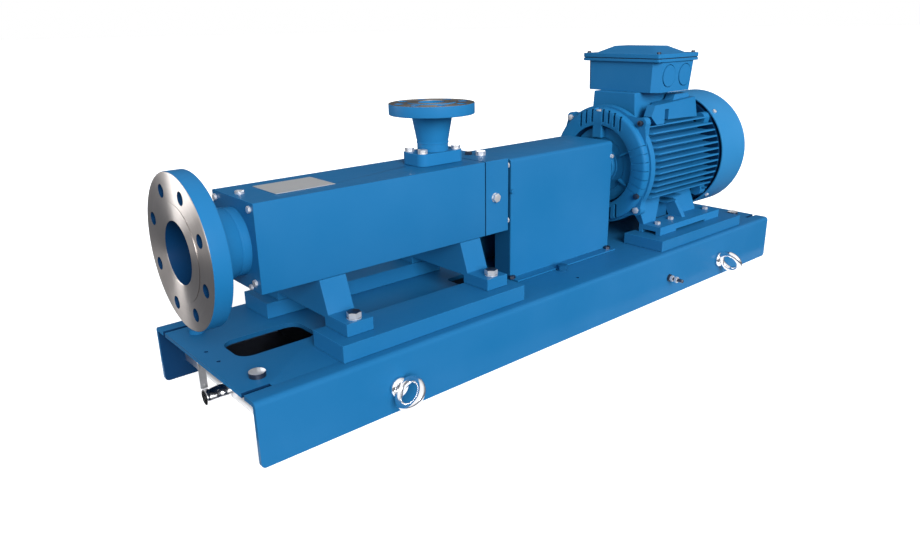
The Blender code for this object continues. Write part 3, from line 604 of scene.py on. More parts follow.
def on_inlet_face(face):
    near = face.center.x < FRONT + INLET + 0.0028
    ring = INLET_BORE + MARGIN < from_shaft(face) < INLET_RAISED + MARGIN
    return near and (face.normal.x < -0.55 or ring)


def inside_inlet(face):
    """The bore's wall, and the walls of the bolt holes."""
    hole = 0.0885 < from_shaft(face) < 0.1115 and INLET + MARGIN < face.center.x - FRONT < 0.022
    return abs(face.normal.x) < 0.5 and (from_shaft(face) < INLET_BORE + 0.0004 or hole)


# The bore and the walls of the bolt holes get the deep blue, painted shade.
print("suction flange: machined faces", second_finish(inlet, flange_steel, on_inlet_face),
      "dark faces", second_finish(inlet, shade_and_joint_paint, inside_inlet))

# %% [markdown]
# ## Discharge flange
# The smaller flange stands on a conical neck over a block that four bolts hold to the casing. It is
# turned about its own upright axis, so its tool marks circle that axis.

# %% Discharge nozzle and its base
outlet_low, outlet_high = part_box("discharge_nozzle")
OUTLET_X = (outlet_low.x + outlet_high.x) / 2 - FRONT
OUTLET_BOTTOM, OUTLET_TOP = outlet_low.z, outlet_high.z
OUTLET_STEP, OUTLET_DISC = OUTLET_TOP - 0.0016, OUTLET_TOP - 0.0224
OUTLET_BORE, OUTLET_RIM = 0.0262, 0.0825
outlet_profile = [(OUTLET_TOP, OUTLET_BORE), (OUTLET_TOP, 0.046), (OUTLET_STEP, 0.046),
                  (OUTLET_STEP, OUTLET_RIM), (OUTLET_DISC, OUTLET_RIM), (OUTLET_DISC, 0.04),
                  (0.4125, 0.0303), (0.412, 0.031), (0.4095, 0.031), (0.409, 0.03),
                  (OUTLET_BOTTOM, 0.03), (OUTLET_BOTTOM, OUTLET_BORE)]
outlet_profile = rounded(outlet_profile, {0: 0.001, 3: 0.0006, 4: 0.0015, 5: 0.003}, 4)
outlet = make_object("discharge_nozzle_skin", turned(outlet_profile, 96, (OUTLET_X, 0, 0), UPRIGHT))
carve(outlet, bolt_circle(0.0635, 0.0095, lambda a, b: (OUTLET_X + a, b, 0), UPRIGHT,
                          (OUTLET_TOP - 0.03, OUTLET_TOP + 0.01)))
outlet_steel = turned_face("outlet_face_steel", "Z", 0.6, Centre=(FRONT + OUTLET_X, 0, 0),
                           Axis_mask=(1, 1, 0))
dress(outlet, cast_paint, bevel=0.0004, smooth=40, node="discharge_nozzle")
outlet_faces = second_finish(outlet, outlet_steel, lambda face: face.center.z > OUTLET_STEP - 0.0002
                             and face.normal.z > 0.5)
pedestal_low, pedestal_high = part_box("discharge_base")
pedestal_z = (pedestal_low.z, pedestal_high.z)
pedestal_line = rounded(rectangle(ends("discharge_base"), (pedestal_low.y, pedestal_high.y)), 0.0165, 10)
pedestal = make_object("discharge_base_skin", push(pedestal_line, "z", pedestal_z))
carve(pedestal, rod((pedestal_z[0] - 0.01, pedestal_z[1] + 0.01), OUTLET_BORE, 48, (OUTLET_X, 0, 0),
                    UPRIGHT))
dress(pedestal, cast_paint, bevel=0.0012, node="discharge_base")
print("discharge flange: machined faces", outlet_faces)

# %% [markdown]
# ## Coupling guard
# A turning coupling has to be out of reach, so a bent sheet covers it and stands on two narrow flanges.
# Its end walls are slotted so that it can be lowered over the shafts, and the front one stands in shade,
# which is painted on with a darker blue.
# Shafts and hubs keep the model's solids and get turned steel, because they are seen only through slots
# and gaps.

# %% Guard and what turns inside it
for node in ("coupling_guard", "guard_rear_plate"):
    soften(node, plate_paint, bevel=0.0006)
# The front plate gets the lighter painted shade.
soften("guard_front_plate", half_shade_paint, bevel=0.0006)
for node in ("pump_shaft", "motor_shaft", "pump_hub", "motor_hub"):
    soften(node, shaft_steel, bevel=0.0006)
soften("coupling_element", rubber, bevel=0.0006)
print("guard runs from", [round(x, 4) for x in ends("coupling_guard")])

# %% [markdown]
# ## Drive end shield
# The motor's front shield is a cast dish. Cooling ribs stand round its rim with narrow slots between
# them, a wider pad is left at the top, and four ears carry the bolts into the frame. The dish is turned
# first, and then the slots are cut, because a slot that is really there gives its own shadow.

# %% Shield
RING_FRONT, RING_REAR, RING_RADIUS = 1.0348, 1.0515, 0.1418
FACE = ends("drive_end_shield")[0]
DISH = RING_FRONT - 0.0003
shield_profile = [(1.031, 0.0), (1.031, 0.046), (1.0335, 0.047), (1.0335, 0.066), (1.0315, 0.0675),
                  (1.0315, 0.09), (1.034, 0.0908), (1.034, 0.0945), (FACE + 0.001, 0.0962),
                  (FACE, 0.0985), (FACE, 0.129), (FACE + 0.0006, 0.1318), (FACE + 0.0022, 0.1343),
                  (FACE + 0.0046, 0.136), (FACE + 0.008, 0.1367), (DISH, 0.1372), (DISH, 0.0)]
shield = make_object("drive_end_shield_skin", turned(shield_profile, 160))
UPRIGHT_SLOTS = (0.0568, 0.041, 0.023, -0.0095, -0.0255, -0.042, -0.0592)
SIDE_SLOTS = (154.2, 162.3, 170.7, 179.4, 188.4, 197.4, 205.8)


def spoke(shape, angle, radii, half, near, far):
    """A radial bar on the shield's face, from one radius to another."""
    out = Vector((math.cos(math.radians(angle)), math.sin(math.radians(angle))))
    side = Vector((-out.y, out.x))
    corners = [out * r + side * w for r, w in ((radii[0], -half), (radii[1], -half), (radii[1], half),
                                               (radii[0], half))]
    push([(c.x, AXIS_Z + c.y) for c in corners], "x", (near, far), shape)


slots = bmesh.new()
SLOT_HALF, SLOT_FLOOR, AHEAD = 0.0034, FACE + 0.0142, 1.0
for y in UPRIGHT_SLOTS:
    low, high = (math.sqrt(radius ** 2 - y ** 2) for radius in (0.105, 0.1345))
    for span in ((AXIS_Z + low, AXIS_Z + high), (AXIS_Z - high, AXIS_Z - low)):
        block((AHEAD, SLOT_FLOOR), (y - SLOT_HALF, y + SLOT_HALF), span, slots)
for angle in SIDE_SLOTS:
    for turn in (angle, 180 - angle):
        spoke(slots, turn, (0.132, 0.146), 0.0009, AHEAD, SLOT_FLOOR)
        spoke(slots, turn, (0.099, 0.1325), 0.001, AHEAD, FACE + 0.0012)
TOP_FLAT = AXIS_Z + 0.1288
block((AHEAD, 1.034), (-0.005, 0.016), (TOP_FLAT, 0.5), slots)
carve(shield, slots)
PAD_FOOT = AXIS_Z + 0.0675
carve(shield, block((FACE + 0.0002, 1.033), (-0.005, 0.019), (PAD_FOOT, AXIS_Z + 0.1)), "UNION")
carve(shield, block((AHEAD, 1.0342), (-0.0095, -0.0062), (PAD_FOOT, AXIS_Z + 0.0995)))
print("shield slots", 2 * len(UPRIGHT_SLOTS) + 2 * len(SIDE_SLOTS))

# %% [markdown]
# The ears are lobes that swell out of the rim at the four corners. Each is a short prism whose outline
# hugs the rim and rounds off around its bolt. Six low ribs stiffen the dish's inner disc.


# %% Ears and inner ribs
def ear_outline(angle, centre, radius, rim, spread):
    """A lobe around a bolt that runs back into the rim."""
    turn = math.radians(angle)
    foot_y, foot_z = rim * math.cos(math.radians(spread)), rim * math.sin(math.radians(spread))
    points = arc((centre, 0), radius, -75, 75, 10) + [(foot_y, foot_z), (rim * 0.93, 0.0), (foot_y, -foot_z)]
    return [(y * math.cos(turn) - z * math.sin(turn), AXIS_Z + y * math.sin(turn) + z * math.cos(turn))
            for y, z in points]


EARS = ((47, 0.1445), (135, 0.153), (221.5, 0.145), (318.5, 0.145))
EAR = (0.013, 0.1395, 12)
EAR_FRONT = 1.0325
ears = bmesh.new()
for angle, reach in EARS:
    push(ear_outline(angle, reach, EAR[0], 0.1345, 27), "x", (EAR_FRONT, DISH), ears)
carve(shield, ears, "UNION")
inner_ribs = bmesh.new()
for angle in (90, 154, -154, -90, -26, 26):
    spoke(inner_ribs, angle, (0.065, 0.0925), 0.0022, 1.024, 1.033)
carve(shield, inner_ribs, "UNION")
dress(shield, cast_paint, bevel=0.0006, smooth=38, node="drive_end_shield")
# A ring groove under the dish's inner edge gets the deep blue, a painted shadow below that edge.
second_finish(shield, shade_and_joint_paint, lambda face: 0.0896 < from_shaft(face) < 0.0958
              and face.center.x > FRONT + FACE + 0.003)
cap_profile = [(1.0215, 0.0), (1.0215, 0.0405), (1.0235, 0.0425), (1.0307, 0.0425), (1.0307, 0.0)]
cap = make_object("bearing_cap_skin", turned(cap_profile, 64))
dress(cap, cast_paint, node="bearing_cap")
print("shield size", size_of(shield))

# %% [markdown]
# ## Motor frame
# The frame is a barrel with straight fins that stand out sideways and upwards, all parallel, so that the
# casting's mould can be drawn apart. One section of fins and valleys is pushed along the shaft line, and
# a ring is turned at its front where the shield fits. At the fan end the barrel stops short of the fin
# tips. Room is then cut for the terminal box's neck and for the lifting blocks.


# %% One fin
BARREL, FIN_TIP, PITCH = 0.12, 0.148, 0.015
FIN_TIP_HALF, FIN_ROOT_HALF = 0.0019, 0.0034
FRAME_REAR = ends("motor_frame")[1]


def fin(level, way, root=BARREL):
    points = []
    for across, radius in ((-FIN_ROOT_HALF, root), (-FIN_TIP_HALF, FIN_TIP), (FIN_TIP_HALF, FIN_TIP),
                           (FIN_ROOT_HALF, root)):
        height = level + across
        points.append((math.sqrt(radius ** 2 - height ** 2), height))
    turns = {"left": lambda out, up: (out, up), "top": lambda out, up: (-up, out),
             "right": lambda out, up: (-out, -up)}
    return [turns[way](out, up) for out, up in points]


def round_tips(points, tip=0.0014, root=0.0024):
    """Fins come four points at a time: root, tip, tip, root."""
    radii = {}
    for k in range(len(points) // 4):
        radii.update({4 * k: root, 4 * k + 1: tip, 4 * k + 2: tip, 4 * k + 3: root})
    return rounded(points, radii, 2)


print("fin pitch in mm", PITCH * 1000)

# %% The finned section
side_levels = [PITCH * (k + 0.5) for k in range(-5, 7)]
top_levels = [PITCH * k for k in range(-3, 4)]
section = [p for level in side_levels for p in fin(level, "left")]
section += [p for level in top_levels for p in fin(level, "top")]
section += [p for level in reversed(side_levels) for p in fin(-level, "right")]
first, last = section[0], section[-1]
section = round_tips(section)
under = arc((0, 0), BARREL, math.degrees(math.atan2(last[1], last[0])) % 360,
            math.degrees(math.atan2(first[1], first[0])) % 360, 24)[1:-1]
section = [(y, AXIS_Z + z) for y, z in section + under]
FIN_END = FRAME_REAR - 0.006
motor = make_object("motor_frame_skin", push(section, "x", (RING_REAR - 0.004, FIN_END)))
lowest = bmesh.new()
FRONT_LEG, REAR_LEG = (1.0541, 1.1585), (1.1975, 1.308)
for run in ((RING_REAR - 0.004, FRONT_LEG[0]), (FRONT_LEG[1], REAR_LEG[0]), (REAR_LEG[1], FIN_END)):
    for level in (-5.5 * PITCH, -6.5 * PITCH):
        line = fin(level, "left", BARREL - 0.008)
        for points in (line, mirrored(line)):
            push([(y, AXIS_Z + z) for y, z in points], "x", run, lowest)
carve(motor, lowest, "UNION")
print("section points", len(section))

# %% Ring, ears and the ends of the fins
carve(motor, turned([(1.04, 0.121), (RING_REAR, 0.121), (RING_REAR + 0.013, 0.152),
                     (1.04, 0.152)], 96))
ring = turned([(RING_FRONT, 0.0), (RING_FRONT, RING_RADIUS), (RING_REAR, RING_RADIUS),
               (RING_REAR + 0.008, 0.126), (RING_REAR + 0.012, 0.117), (RING_REAR + 0.012, 0.0)], 160)
carve(motor, ring, "UNION")
BARREL_END = 1.294
carve(motor, turned([(BARREL_END, 0.105), (BARREL_END, 0.139), (FRAME_REAR, 0.145),
                     (FRAME_REAR + 0.01, 0.145), (FRAME_REAR + 0.01, 0.105)], 96))
lobes = bmesh.new()
for angle, reach in EARS:
    push(ear_outline(angle, reach, *EAR), "x", (RING_FRONT, RING_REAR), lobes)
    push(ear_outline(angle, 0.133, 0.015, 0.13, 9), "x", (1.302, FRAME_REAR), lobes)
carve(motor, lobes, "UNION")
neck_low, neck_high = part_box("terminal_box_neck")
block_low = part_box("lifting_block_left")[0]
BLOCK_FRONT, BLOCK_REAR = ends("lifting_block_left")
NOTCH_X, FAR_BLOCK_FRONT = 1.131, 1.13
CLEAR, ABOVE = 0.0005, 0.47
room = block((RING_REAR, neck_high.x - FRONT + CLEAR), (neck_low.y - CLEAR, neck_high.y + CLEAR),
             (neck_low.z - 0.0003, ABOVE))
for sign in (-1, 1):
    front = FAR_BLOCK_FRONT if sign > 0 else BLOCK_FRONT - 0.016
    for span, low in (((front, NOTCH_X + 0.001), 0.3942), ((NOTCH_X, BLOCK_REAR + 0.012), 0.4)):
        line = [(0.0672, block_low.z - CLEAR), (0.11, low), (0.165, low), (0.165, ABOVE), (0.0672, ABOVE)]
        push([(y * sign, z) for y, z in line], "x", span, room)
carve(motor, room)
dress(motor, cast_paint, bevel=0.0005, smooth=38, node="motor_frame")
# The fins' cut ends behind the barrel get the deep blue, painted shade in the gap before the cowl.
second_finish(motor, shade_and_joint_paint, lambda face: face.center.x > FRONT + BARREL_END - 0.0005
              and face.normal.x > 0.5)
print("motor frame faces", len(motor.data.polygons))

# %% [markdown]
# ## Motor feet
# Each foot is a cast plate on its welded pad, with two legs that lean in to the barrel, a web and a
# wall between them that stands in shade, painted on with a darker blue. The plate is relieved below, so
# that it bears on its ends only.


# %% Feet
FOOT_X, FOOT_BOTTOM, FOOT_TOP = ends("motor_foot_right"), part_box("motor_foot_right")[0].z, 0.156
LEG_BOTTOM = FOOT_TOP - 0.002


def slanted(bottom_x, bottom_y, top_x, top_y, low, high):
    return loft(rectangle(bottom_x, bottom_y), low, rectangle(top_x, top_y), high)


def side(span, sign):
    return tuple(sorted((span[0] * sign, span[1] * sign)))


for sign, word in SIDES:
    foot = make_object("motor_foot_%s_skin" % word,
                       block(FOOT_X, side((0.09, 0.1505), sign), (FOOT_BOTTOM, FOOT_TOP)))
    relief = block((1.145, 1.275), side((0.11, 0.16), sign), (FOOT_BOTTOM - 0.01, FOOT_BOTTOM + 0.005))
    block((FOOT_X[0] - 0.01, FOOT_X[0] + 0.035), side((0.1, 0.138), sign),
          (FOOT_BOTTOM - 0.01, FOOT_BOTTOM + 0.008), relief)
    carve(foot, relief)
    for low_x, low_y, high_x, high_y, top in (
            ((1.0786, 1.126), (0.091, 0.102), (1.0541, 1.158), (0.0541, 0.0913), 0.223),
            ((1.213, 1.306), (0.091, 0.102), (1.1999, 1.2822), (0.0541, 0.0913), 0.223),
            ((1.201, 1.215), (0.091, 0.1315), (1.201, 1.215), (0.06, 0.095), 0.21)):
        carve(foot, slanted(low_x, side(low_y, sign), high_x, side(high_y, sign), LEG_BOTTOM, top), "UNION")
    carve(foot, block((1.115, 1.24), side((0.06, 0.082), sign), (LEG_BOTTOM, 0.216)), "UNION")
    carve(foot, rod((1.0, 1.4), BARREL + 0.0006, 96))
    dress(foot, cast_paint, bevel=0.0012, node="motor_foot_" + word)
    # The wall between the legs gets the lighter painted shade.
    second_finish(foot, half_shade_paint, lambda face: abs(abs(face.center.y) - 0.082) < 0.0005)
print("feet done", size_of(foot))

# %% [markdown]
# ## Lifting blocks on the shoulders
# A cast block sits on each shoulder of the motor beside the terminal box. It has a slanted front, a notch
# in its side and a step on top. The outline in side view is pushed across, and the notch is cut from it.
# The far block is the shorter one: its front ends beside the terminal box's neck.

# %% Shoulder blocks
WHOLE_HEIGHT = (0.37, 0.48)
for sign, word in SIDES:
    line = [(1.0718, 0.415), (1.0949, 0.3947), (NOTCH_X, 0.3947), (NOTCH_X, 0.4035), (1.144, 0.4035),
            (1.266, 0.4005), (1.2515, 0.449), (1.17, 0.444), (1.0848, 0.44)]
    body = make_object("lifting_block_%s_skin" % word, push(line, "y", side((0.068, 0.108), sign)))
    rest = [(0.066, 0.3868), (0.084, 0.3925), (0.084, 0.401), (0.066, 0.401)]
    carve(body, push([(y * sign, z) for y, z in rest], "x", (NOTCH_X - 0.005, 1.262)), "UNION")
    carve(body, block((1.0, 1.4), side((0.05, 0.068), sign), WHOLE_HEIGHT))
    upper = slanted((1.176, 1.252), side((0.068, 0.094), sign), (1.19, 1.246), side((0.068, 0.09), sign),
                    0.443, 0.458)
    carve(body, upper, "UNION")
    carve(body, block((1.0, NOTCH_X - 0.005), side((0.05, 0.086), sign), WHOLE_HEIGHT))
    carve(body, block((1.1255, 1.141), side((0.096, 0.12), sign), (0.39, 0.428)))
    if sign > 0:
        carve(body, block((1.0, FAR_BLOCK_FRONT), (0.04, 0.13), WHOLE_HEIGHT))
    dress(body, cast_paint, bevel=0.0016, node="lifting_block_" + word)
print("shoulder block", size_of(body))

# %% [markdown]
# ## Fan end
# A shield closes the frame's rear, with a thin disc round it that stops any view through to the floor.
# Both wear the deep blue as painted shade: a dark sheet where the cowl's inside lies in shade. A pressed
# steel cowl leads the fan's air along the fins; its lighter blue is painted light. It is spun with a rounded
# rear edge, and its flat grille keeps the model's slots.

# %% Fan shield, cowl, grille and fan
# The shield and its added disc wear the deep blue: a dark sheet painted where the cowl's inside is in shade.
rear_shield = raw_copy("fan_end_shield")
carve(rear_shield, rod((1.34, 1.344), 0.1486, 128), "UNION")
dress(rear_shield, shade_and_joint_paint, bevel=0.0005, node="fan_end_shield")
COWL, COWL_END = ends("fan_cowl")
cowl_profile = [(COWL, 0.1492), (COWL, 0.1522), (COWL_END - 0.009, 0.1522), (COWL_END - 0.0025, 0.1495),
                (COWL_END, 0.142), (COWL_END, 0.1283), (COWL_END - 0.003, 0.1283),
                (COWL_END - 0.003, 0.14), (COWL_END - 0.006, 0.1462), (COWL_END - 0.0125, 0.1492)]
cowl_profile = rounded(cowl_profile, {2: 0.004, 3: 0.003, 4: 0.003, 8: 0.002}, 3)
cowl = make_object("fan_cowl_skin", turned(cowl_profile, 160))
dress(cowl, painted_light_cowl_paint, bevel=0.0004, smooth=40, node="fan_cowl")
soften("cowl_grille", painted_light_cowl_paint, bevel=0.0005)
soften("cooling_fan", plastic, bevel=0.0005)
print("cowl", size_of(cowl))

# %% [markdown]
# ## Terminal box
# The cables end in a box over the motor. Its body widens upwards and has cut-off corners, its flange and
# lid lie on each other with a dark seal between, and the lid rises to a flat crown. Two round knock-outs
# are marked in each long side, each set in its own groove.

# %% Neck and box
soften("terminal_box_neck", cast_paint, bevel=0.002, segments=3)
box_low, box_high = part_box("terminal_box")
BOX_FRONT = ends("terminal_box")[0]


def octagon(x, half, cut):
    return [(x[0], -half + cut), (x[0] + cut, -half), (x[1] - cut, -half), (x[1], -half + cut),
            (x[1], half - cut), (x[1] - cut, half), (x[0] + cut, half), (x[0], half - cut)]


BOX_HALF_LOW, BOX_HALF_HIGH, BOX_CUT = 0.1045, 0.1065, 0.0165
box_shape = loft(octagon((BOX_FRONT, 1.24), BOX_HALF_LOW, BOX_CUT), box_low.z,
                 octagon((BOX_FRONT, 1.249), BOX_HALF_HIGH, BOX_CUT), box_high.z)
terminal = make_object("terminal_box_skin", box_shape)
KNOCKOUT, KNOCKOUT_Z = 0.0245, 0.504
grooves, knockouts = bmesh.new(), bmesh.new()
for sign in (-1, 1):
    for x in (1.1347, 1.1998):
        origin, outward = (x, 0, KNOCKOUT_Z + 0.0031), (0, sign, -0.029)
        turned(rectangle((0.103, 0.12), (KNOCKOUT, KNOCKOUT + 0.0019)), 64, origin, outward, grooves)
        rod((0.1, 0.1068), KNOCKOUT - 0.0002, 48, origin, outward, knockouts)
carve(terminal, grooves)
carve(terminal, knockouts, "UNION")
dress(terminal, cast_paint, bevel=0.0014, node="terminal_box")
print("terminal box", size_of(terminal))

# %% Flange, seal and lid
lid_low, lid_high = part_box("terminal_box_lid")
LID_X, LID_HALF, LID_TOP = ends("terminal_box_lid"), lid_high.y, 0.554
SEAL_Z, SEAL_HALF = 0.5435, 0.0007


def lid_line(inset, corner):
    """The lid's outline, drawn in by some distance."""
    half = LID_HALF - inset
    return rounded(rectangle((LID_X[0] + inset, LID_X[1] - inset), (-half, half)), corner, 4)


flange = make_object("terminal_box_flange", push(lid_line(0, 0.006), "z", (lid_low.z, SEAL_Z - 0.0008)))
dress(flange, cast_paint, bevel=0.001)
seal = make_object("terminal_box_seal",
                   push(lid_line(0.002, 0.005), "z", (SEAL_Z - SEAL_HALF, SEAL_Z + SEAL_HALF)))
dress(seal, rubber, bevel=0)
lid = make_object("terminal_box_lid_skin", push(lid_line(0, 0.006), "z", (SEAL_Z + 0.0008, LID_TOP)))
carve(lid, loft(lid_line(0.016, 0.01), LID_TOP - 0.002, lid_line(0.052, 0.01), lid_high.z), "UNION")
dress(lid, cast_paint, bevel=0.0012, node="terminal_box_lid")
print("lid top at", round(lid_high.z, 4))

# %% [markdown]
# ## Lifting eyes
# The eyes are forged rings on a collar, screwed into the folded sides and polished bright. The ring is a
# circle of wire spun about the axis across the eye, and it sinks into the collar. Each pair has come to
# rest at a slant of its own.

# %% Eyes
EYE_RING, EYE_WIRE, EYE_REACH, SIDE_WALL = 0.0245, 0.0068, 0.0325, 0.1973
collar = [(SIDE_WALL + out, radius) for out, radius in (
    (0, 0.0), (0, 0.0172), (0.0015, 0.018), (0.006, 0.018), (0.0078, 0.0165), (0.01, 0.0115),
    (0.01, 0.0))]
wire = [(x, EYE_RING + y) for x, y in regular(EYE_WIRE, 20)]
for place, lean in (("front", 40), ("rear", -25)):
    for sign, word in SIDES:
        node = "lifting_eye_%s_%s" % (place, word)
        eye_low, eye_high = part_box(node)
        x, z = (eye_low.x + eye_high.x) / 2 - FRONT, (eye_low.z + eye_high.z) / 2
        eye = make_object(node + "_skin", turned(collar, 48, (x, 0, z), (0, sign, 0)))
        turn = math.radians(lean)
        middle, axle = (x, sign * (SIDE_WALL - 0.0003 + EYE_REACH), z), (math.cos(turn), 0, -math.sin(turn))
        carve(eye, turned(wire, 64, middle, axle), "UNION")
        dress(eye, bright_steel, bevel=0.0006, smooth=45, node=node)
print("eye", size_of(eye))

# %% [markdown]
# ## Bolts and plugs
# Screws give a machine its scale. A hexagon head is a six-sided prism cut by a shallow cone, which leaves
# the small arcs of the chamfer, and the larger ones stand on a washer. Each size is made once, and all
# its bolts in one finish share a mesh.


# %% One mesh for each size
def bolt_mesh(name, flats, height, washer, washer_thick, socket=0.0, is_round=False):
    """A head standing on z = 0, six-sided or round, plain or with a six-sided socket."""
    corner = flats / math.sqrt(3)
    top = washer_thick + height
    outline = arc((0, 0), flats / 2, 0, 350, 35) if is_round else regular(corner, 6)
    head = make_object(name, push(outline, "z", (washer_thick, top)))
    below = washer_thick - 0.001
    cone = [(below, 0), (below, corner * 1.2), (top - height * 0.12, corner * 1.06), (top, flats * 0.47),
            (top, 0)]
    carve(head, turned(cone, 48, (0, 0, 0), UPRIGHT), "INTERSECT")
    if socket:
        carve(head, push(regular(socket, 6), "z", (top - height * 0.55, top + 0.01)))
    if washer:
        carve(head, rod((0, washer_thick + 0.0001), washer, 40, (0, 0, 0), UPRIGHT), "UNION")
    head.data.transform(Matrix.Translation((-FRONT, 0, 0)))
    finish_edges(head, 0, 28, 1)
    mesh = head.data
    mesh.name = name
    bpy.data.objects.remove(head)
    return mesh


SIZES = {"m5": (0.008, 0.0035, 0.0048, 0.0008), "m6": (0.01, 0.0044, 0, 0), "m8": (0.013, 0.006, 0, 0),
         "m10": (0.016, 0.0064, 0.0092, 0.0016), "m12": (0.018, 0.0075, 0.0102, 0.0018),
         "m16": (0.022, 0.01, 0.0126, 0.002), "cap": (0.013, 0.007, 0, 0, 0.0038, True),
         "anchor": (0.027, 0.0085, 0, 0, 0, True), "plug": (0.02, 0.0036, 0, 0, 0, True),
         "socket": (0.0155, 0.0045, 0, 0, 0.0048, True)}
HEADS = {size: bolt_mesh(size + "_head", *measures) for size, measures in SIZES.items()}
print("bolt sizes", {size: len(mesh.polygons) for size, mesh in HEADS.items()})


# %% Placing bolts
def bolt(name, size, x, y, z, axis=UPRIGHT, turn=0.0, material=None):
    """A head whose foot lies at a point, pointing along an axis; some zinc heads get painted shade, black
    steel on faces the light misses.
    """
    key = (size, (material or zinc_steel).name)
    if key not in dressed_heads:
        mesh = HEADS[size].copy()
        mesh.materials.clear()
        mesh.materials.append(material or zinc_steel)
        if material is None and size in PAINTED_SHADE_FACES:
            mesh.materials.append(oiled_and_shade_steel)
            for face in mesh.polygons:
                face.material_index = int(PAINTED_SHADE_FACES[size](face))
        dressed_heads[key] = mesh
    thing = add_object(name, dressed_heads[key])
    aim = Vector(UPRIGHT).rotation_difference(Vector(axis)).to_matrix().to_4x4()
    spin = Matrix.Rotation(math.radians(turn), 4, "Z")
    thing.matrix_world = Matrix.Translation((FRONT + x, y, z)) @ aim @ spin
    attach(thing, "root")
    return thing


dressed_heads = {}
# Painted shade on zinc heads: an anchor's sides, an m16 head's top and a socket's pit are dark steel where
# the light misses them.
PAINTED_SHADE_FACES = {"anchor": lambda face: abs(face.normal.z) < 0.5, "m16": lambda face: face.normal.z > 0.9,
              "socket": lambda face: face.center.xy.length < 0.0046 and face.center.z < 0.004}
CASING_FRONT, CASING_TOP = ends("pump_casing")[0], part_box("pump_casing")[1].z
END_BLOCK_REAR = ends("drive_end_block")[1]
FORWARD, BACKWARD = (-1, 0, 0), (1, 0, 0)
STUD_X, STUD_Z = 1.056, 0.047
PAIRS = (("pump_foot_bolt_front", "m16", 0.2168, 0.134, 0.164, UPRIGHT, 15),
         ("pump_foot_bolt_rear", "m16", 0.5325, 0.134, 0.164, UPRIGHT, 15),
         ("motor_foot_bolt_a", "m8", 1.1035, 0.124, FOOT_TOP, UPRIGHT, 40),
         ("motor_foot_bolt_b", "m8", 1.1665, 0.119, FOOT_TOP, UPRIGHT, 40),
         ("motor_foot_bolt_c", "m8", 1.3175, 0.1235, FOOT_TOP, UPRIGHT, 40),
         ("anchor_bolt_front", "anchor", 0.0445, 0.1175, BASE_TOP, UPRIGHT, 10),
         ("anchor_bolt_rear", "anchor", 1.485, 0.114, BASE_TOP, UPRIGHT, 10),
         ("guard_bolt_front", "m8", 0.6505, 0.0744, 0.1133, UPRIGHT, 20, oiled_and_shade_steel),
         ("guard_bolt_rear", "m8", 0.965, 0.0806, 0.1133, UPRIGHT, 20, oiled_and_shade_steel),
         ("end_block_bolt_upper", "m6", END_BLOCK_REAR, 0.0695, 0.3555, BACKWARD, 10),
         ("end_block_bolt_lower", "m6", END_BLOCK_REAR, 0.0695, 0.2415, BACKWARD, 10),
         ("casing_bolt_upper", "m6", CASING_FRONT, 0.062, 0.3597, FORWARD, 12),
         ("casing_bolt_lower", "m6", CASING_FRONT, 0.058, 0.2381, FORWARD, 12))
PAINTED_OVER = {"anchor_bolt_front_left": [plate_paint]}
for sign, word in SIDES:
    for name, size, x, y, z, axis, turn, *material in PAIRS:
        name += "_" + word
        bolt(name, size, x, y * sign, z, axis, turn, *PAINTED_OVER.get(name, material))
    stud_line = [(SIDE_WALL, 0.0), (SIDE_WALL, 0.009), (0.201, 0.009), (0.2014, 0.004),
                 (0.234, 0.004), (0.235, 0.003), (0.235, 0.0)]
    stud = make_object("earth_stud_" + word, turned(stud_line, 24, (STUD_X, 0, STUD_Z), (0, sign, 0)))
    dress(stud, oiled_and_shade_steel, bevel=0)
    for y, place in ((0.203, "inner"), (0.215, "outer")):
        bolt("earth_nut_%s_%s" % (place, word), "m8", STUD_X, y * sign, STUD_Z, (0, sign, 0), 12)

# %% Bolts on the motor and the pump
def corner(angle, radius):
    turn = math.radians(angle)
    return radius * math.cos(turn), AXIS_Z + radius * math.sin(turn)


for angle, reach in EARS:
    y, z = corner(angle, reach)
    size, finish = ("cap", oiled_and_shade_steel) if angle == 135 else ("m8", zinc_steel)
    bolt("shield_bolt_%d" % angle, size, EAR_FRONT, y, z, FORWARD, angle, finish)
for angle in (45, 135, 225, 315):
    y, z = corner(angle, 0.142)
    bolt("rear_shield_bolt_%d" % angle, "m5", 1.316, y, z, FORWARD, angle, oiled_and_shade_steel)
    y, z = corner(angle, 0.1522)
    bolt("cowl_screw_%d" % angle, "m6", 1.346, y, z, (0, y, z - AXIS_Z), 12)
for fore in (-1, 1):
    for across in (-1, 1):
        bolt("pedestal_bolt_%d_%d" % (fore + 1, across + 1), "m10", OUTLET_X + 0.0413 * fore,
             0.0202 * across, pedestal_high.z, turn=25)
        bolt("lid_screw_%d_%d" % (fore + 1, across + 1), "m5", sum(LID_X) / 2 + 0.071 * fore,
             (LID_HALF - 0.01) * across, LID_TOP, turn=10, material=oiled_and_shade_steel)
bolt("shield_top_plug", "plug", 1.0275, 0.0056, TOP_FLAT, turn=10)
bolt("shield_drain_plug", "m8", FACE, -0.1188, 0.2375, FORWARD, 0, oiled_and_shade_steel)
bolt("vent_plug_front", "socket", 0.105, 0.009, CASING_TOP, turn=20)
bolt("vent_plug_rear", "m8", 0.61, 0.014, CASING_TOP, turn=5, material=oiled_and_shade_steel)
bolt("oil_plug_rear", "m12", 0.6229, -0.009, CASING_TOP, turn=20)
bolt("side_plug", "m10", 0.6, -0.0747, 0.2966, (0, -1, 0), 12)
bolt("guard_side_screw", "m5", 0.976, -0.0713, 0.3318, (0, -1, 0), 12)
bolt("guard_front_screw", "m5", 0.6505, -0.0713, 0.3003, (0, -1, 0), 12, plate_paint)
bolt("casing_front_plug", "m5", CASING_FRONT, -0.0418, 0.2274, FORWARD, 12)
# The base plug wears the lighter painted shade.
bolt("base_plug", "m16", 0.776, -0.105, BASE_TOP, turn=12, material=half_shade_paint)

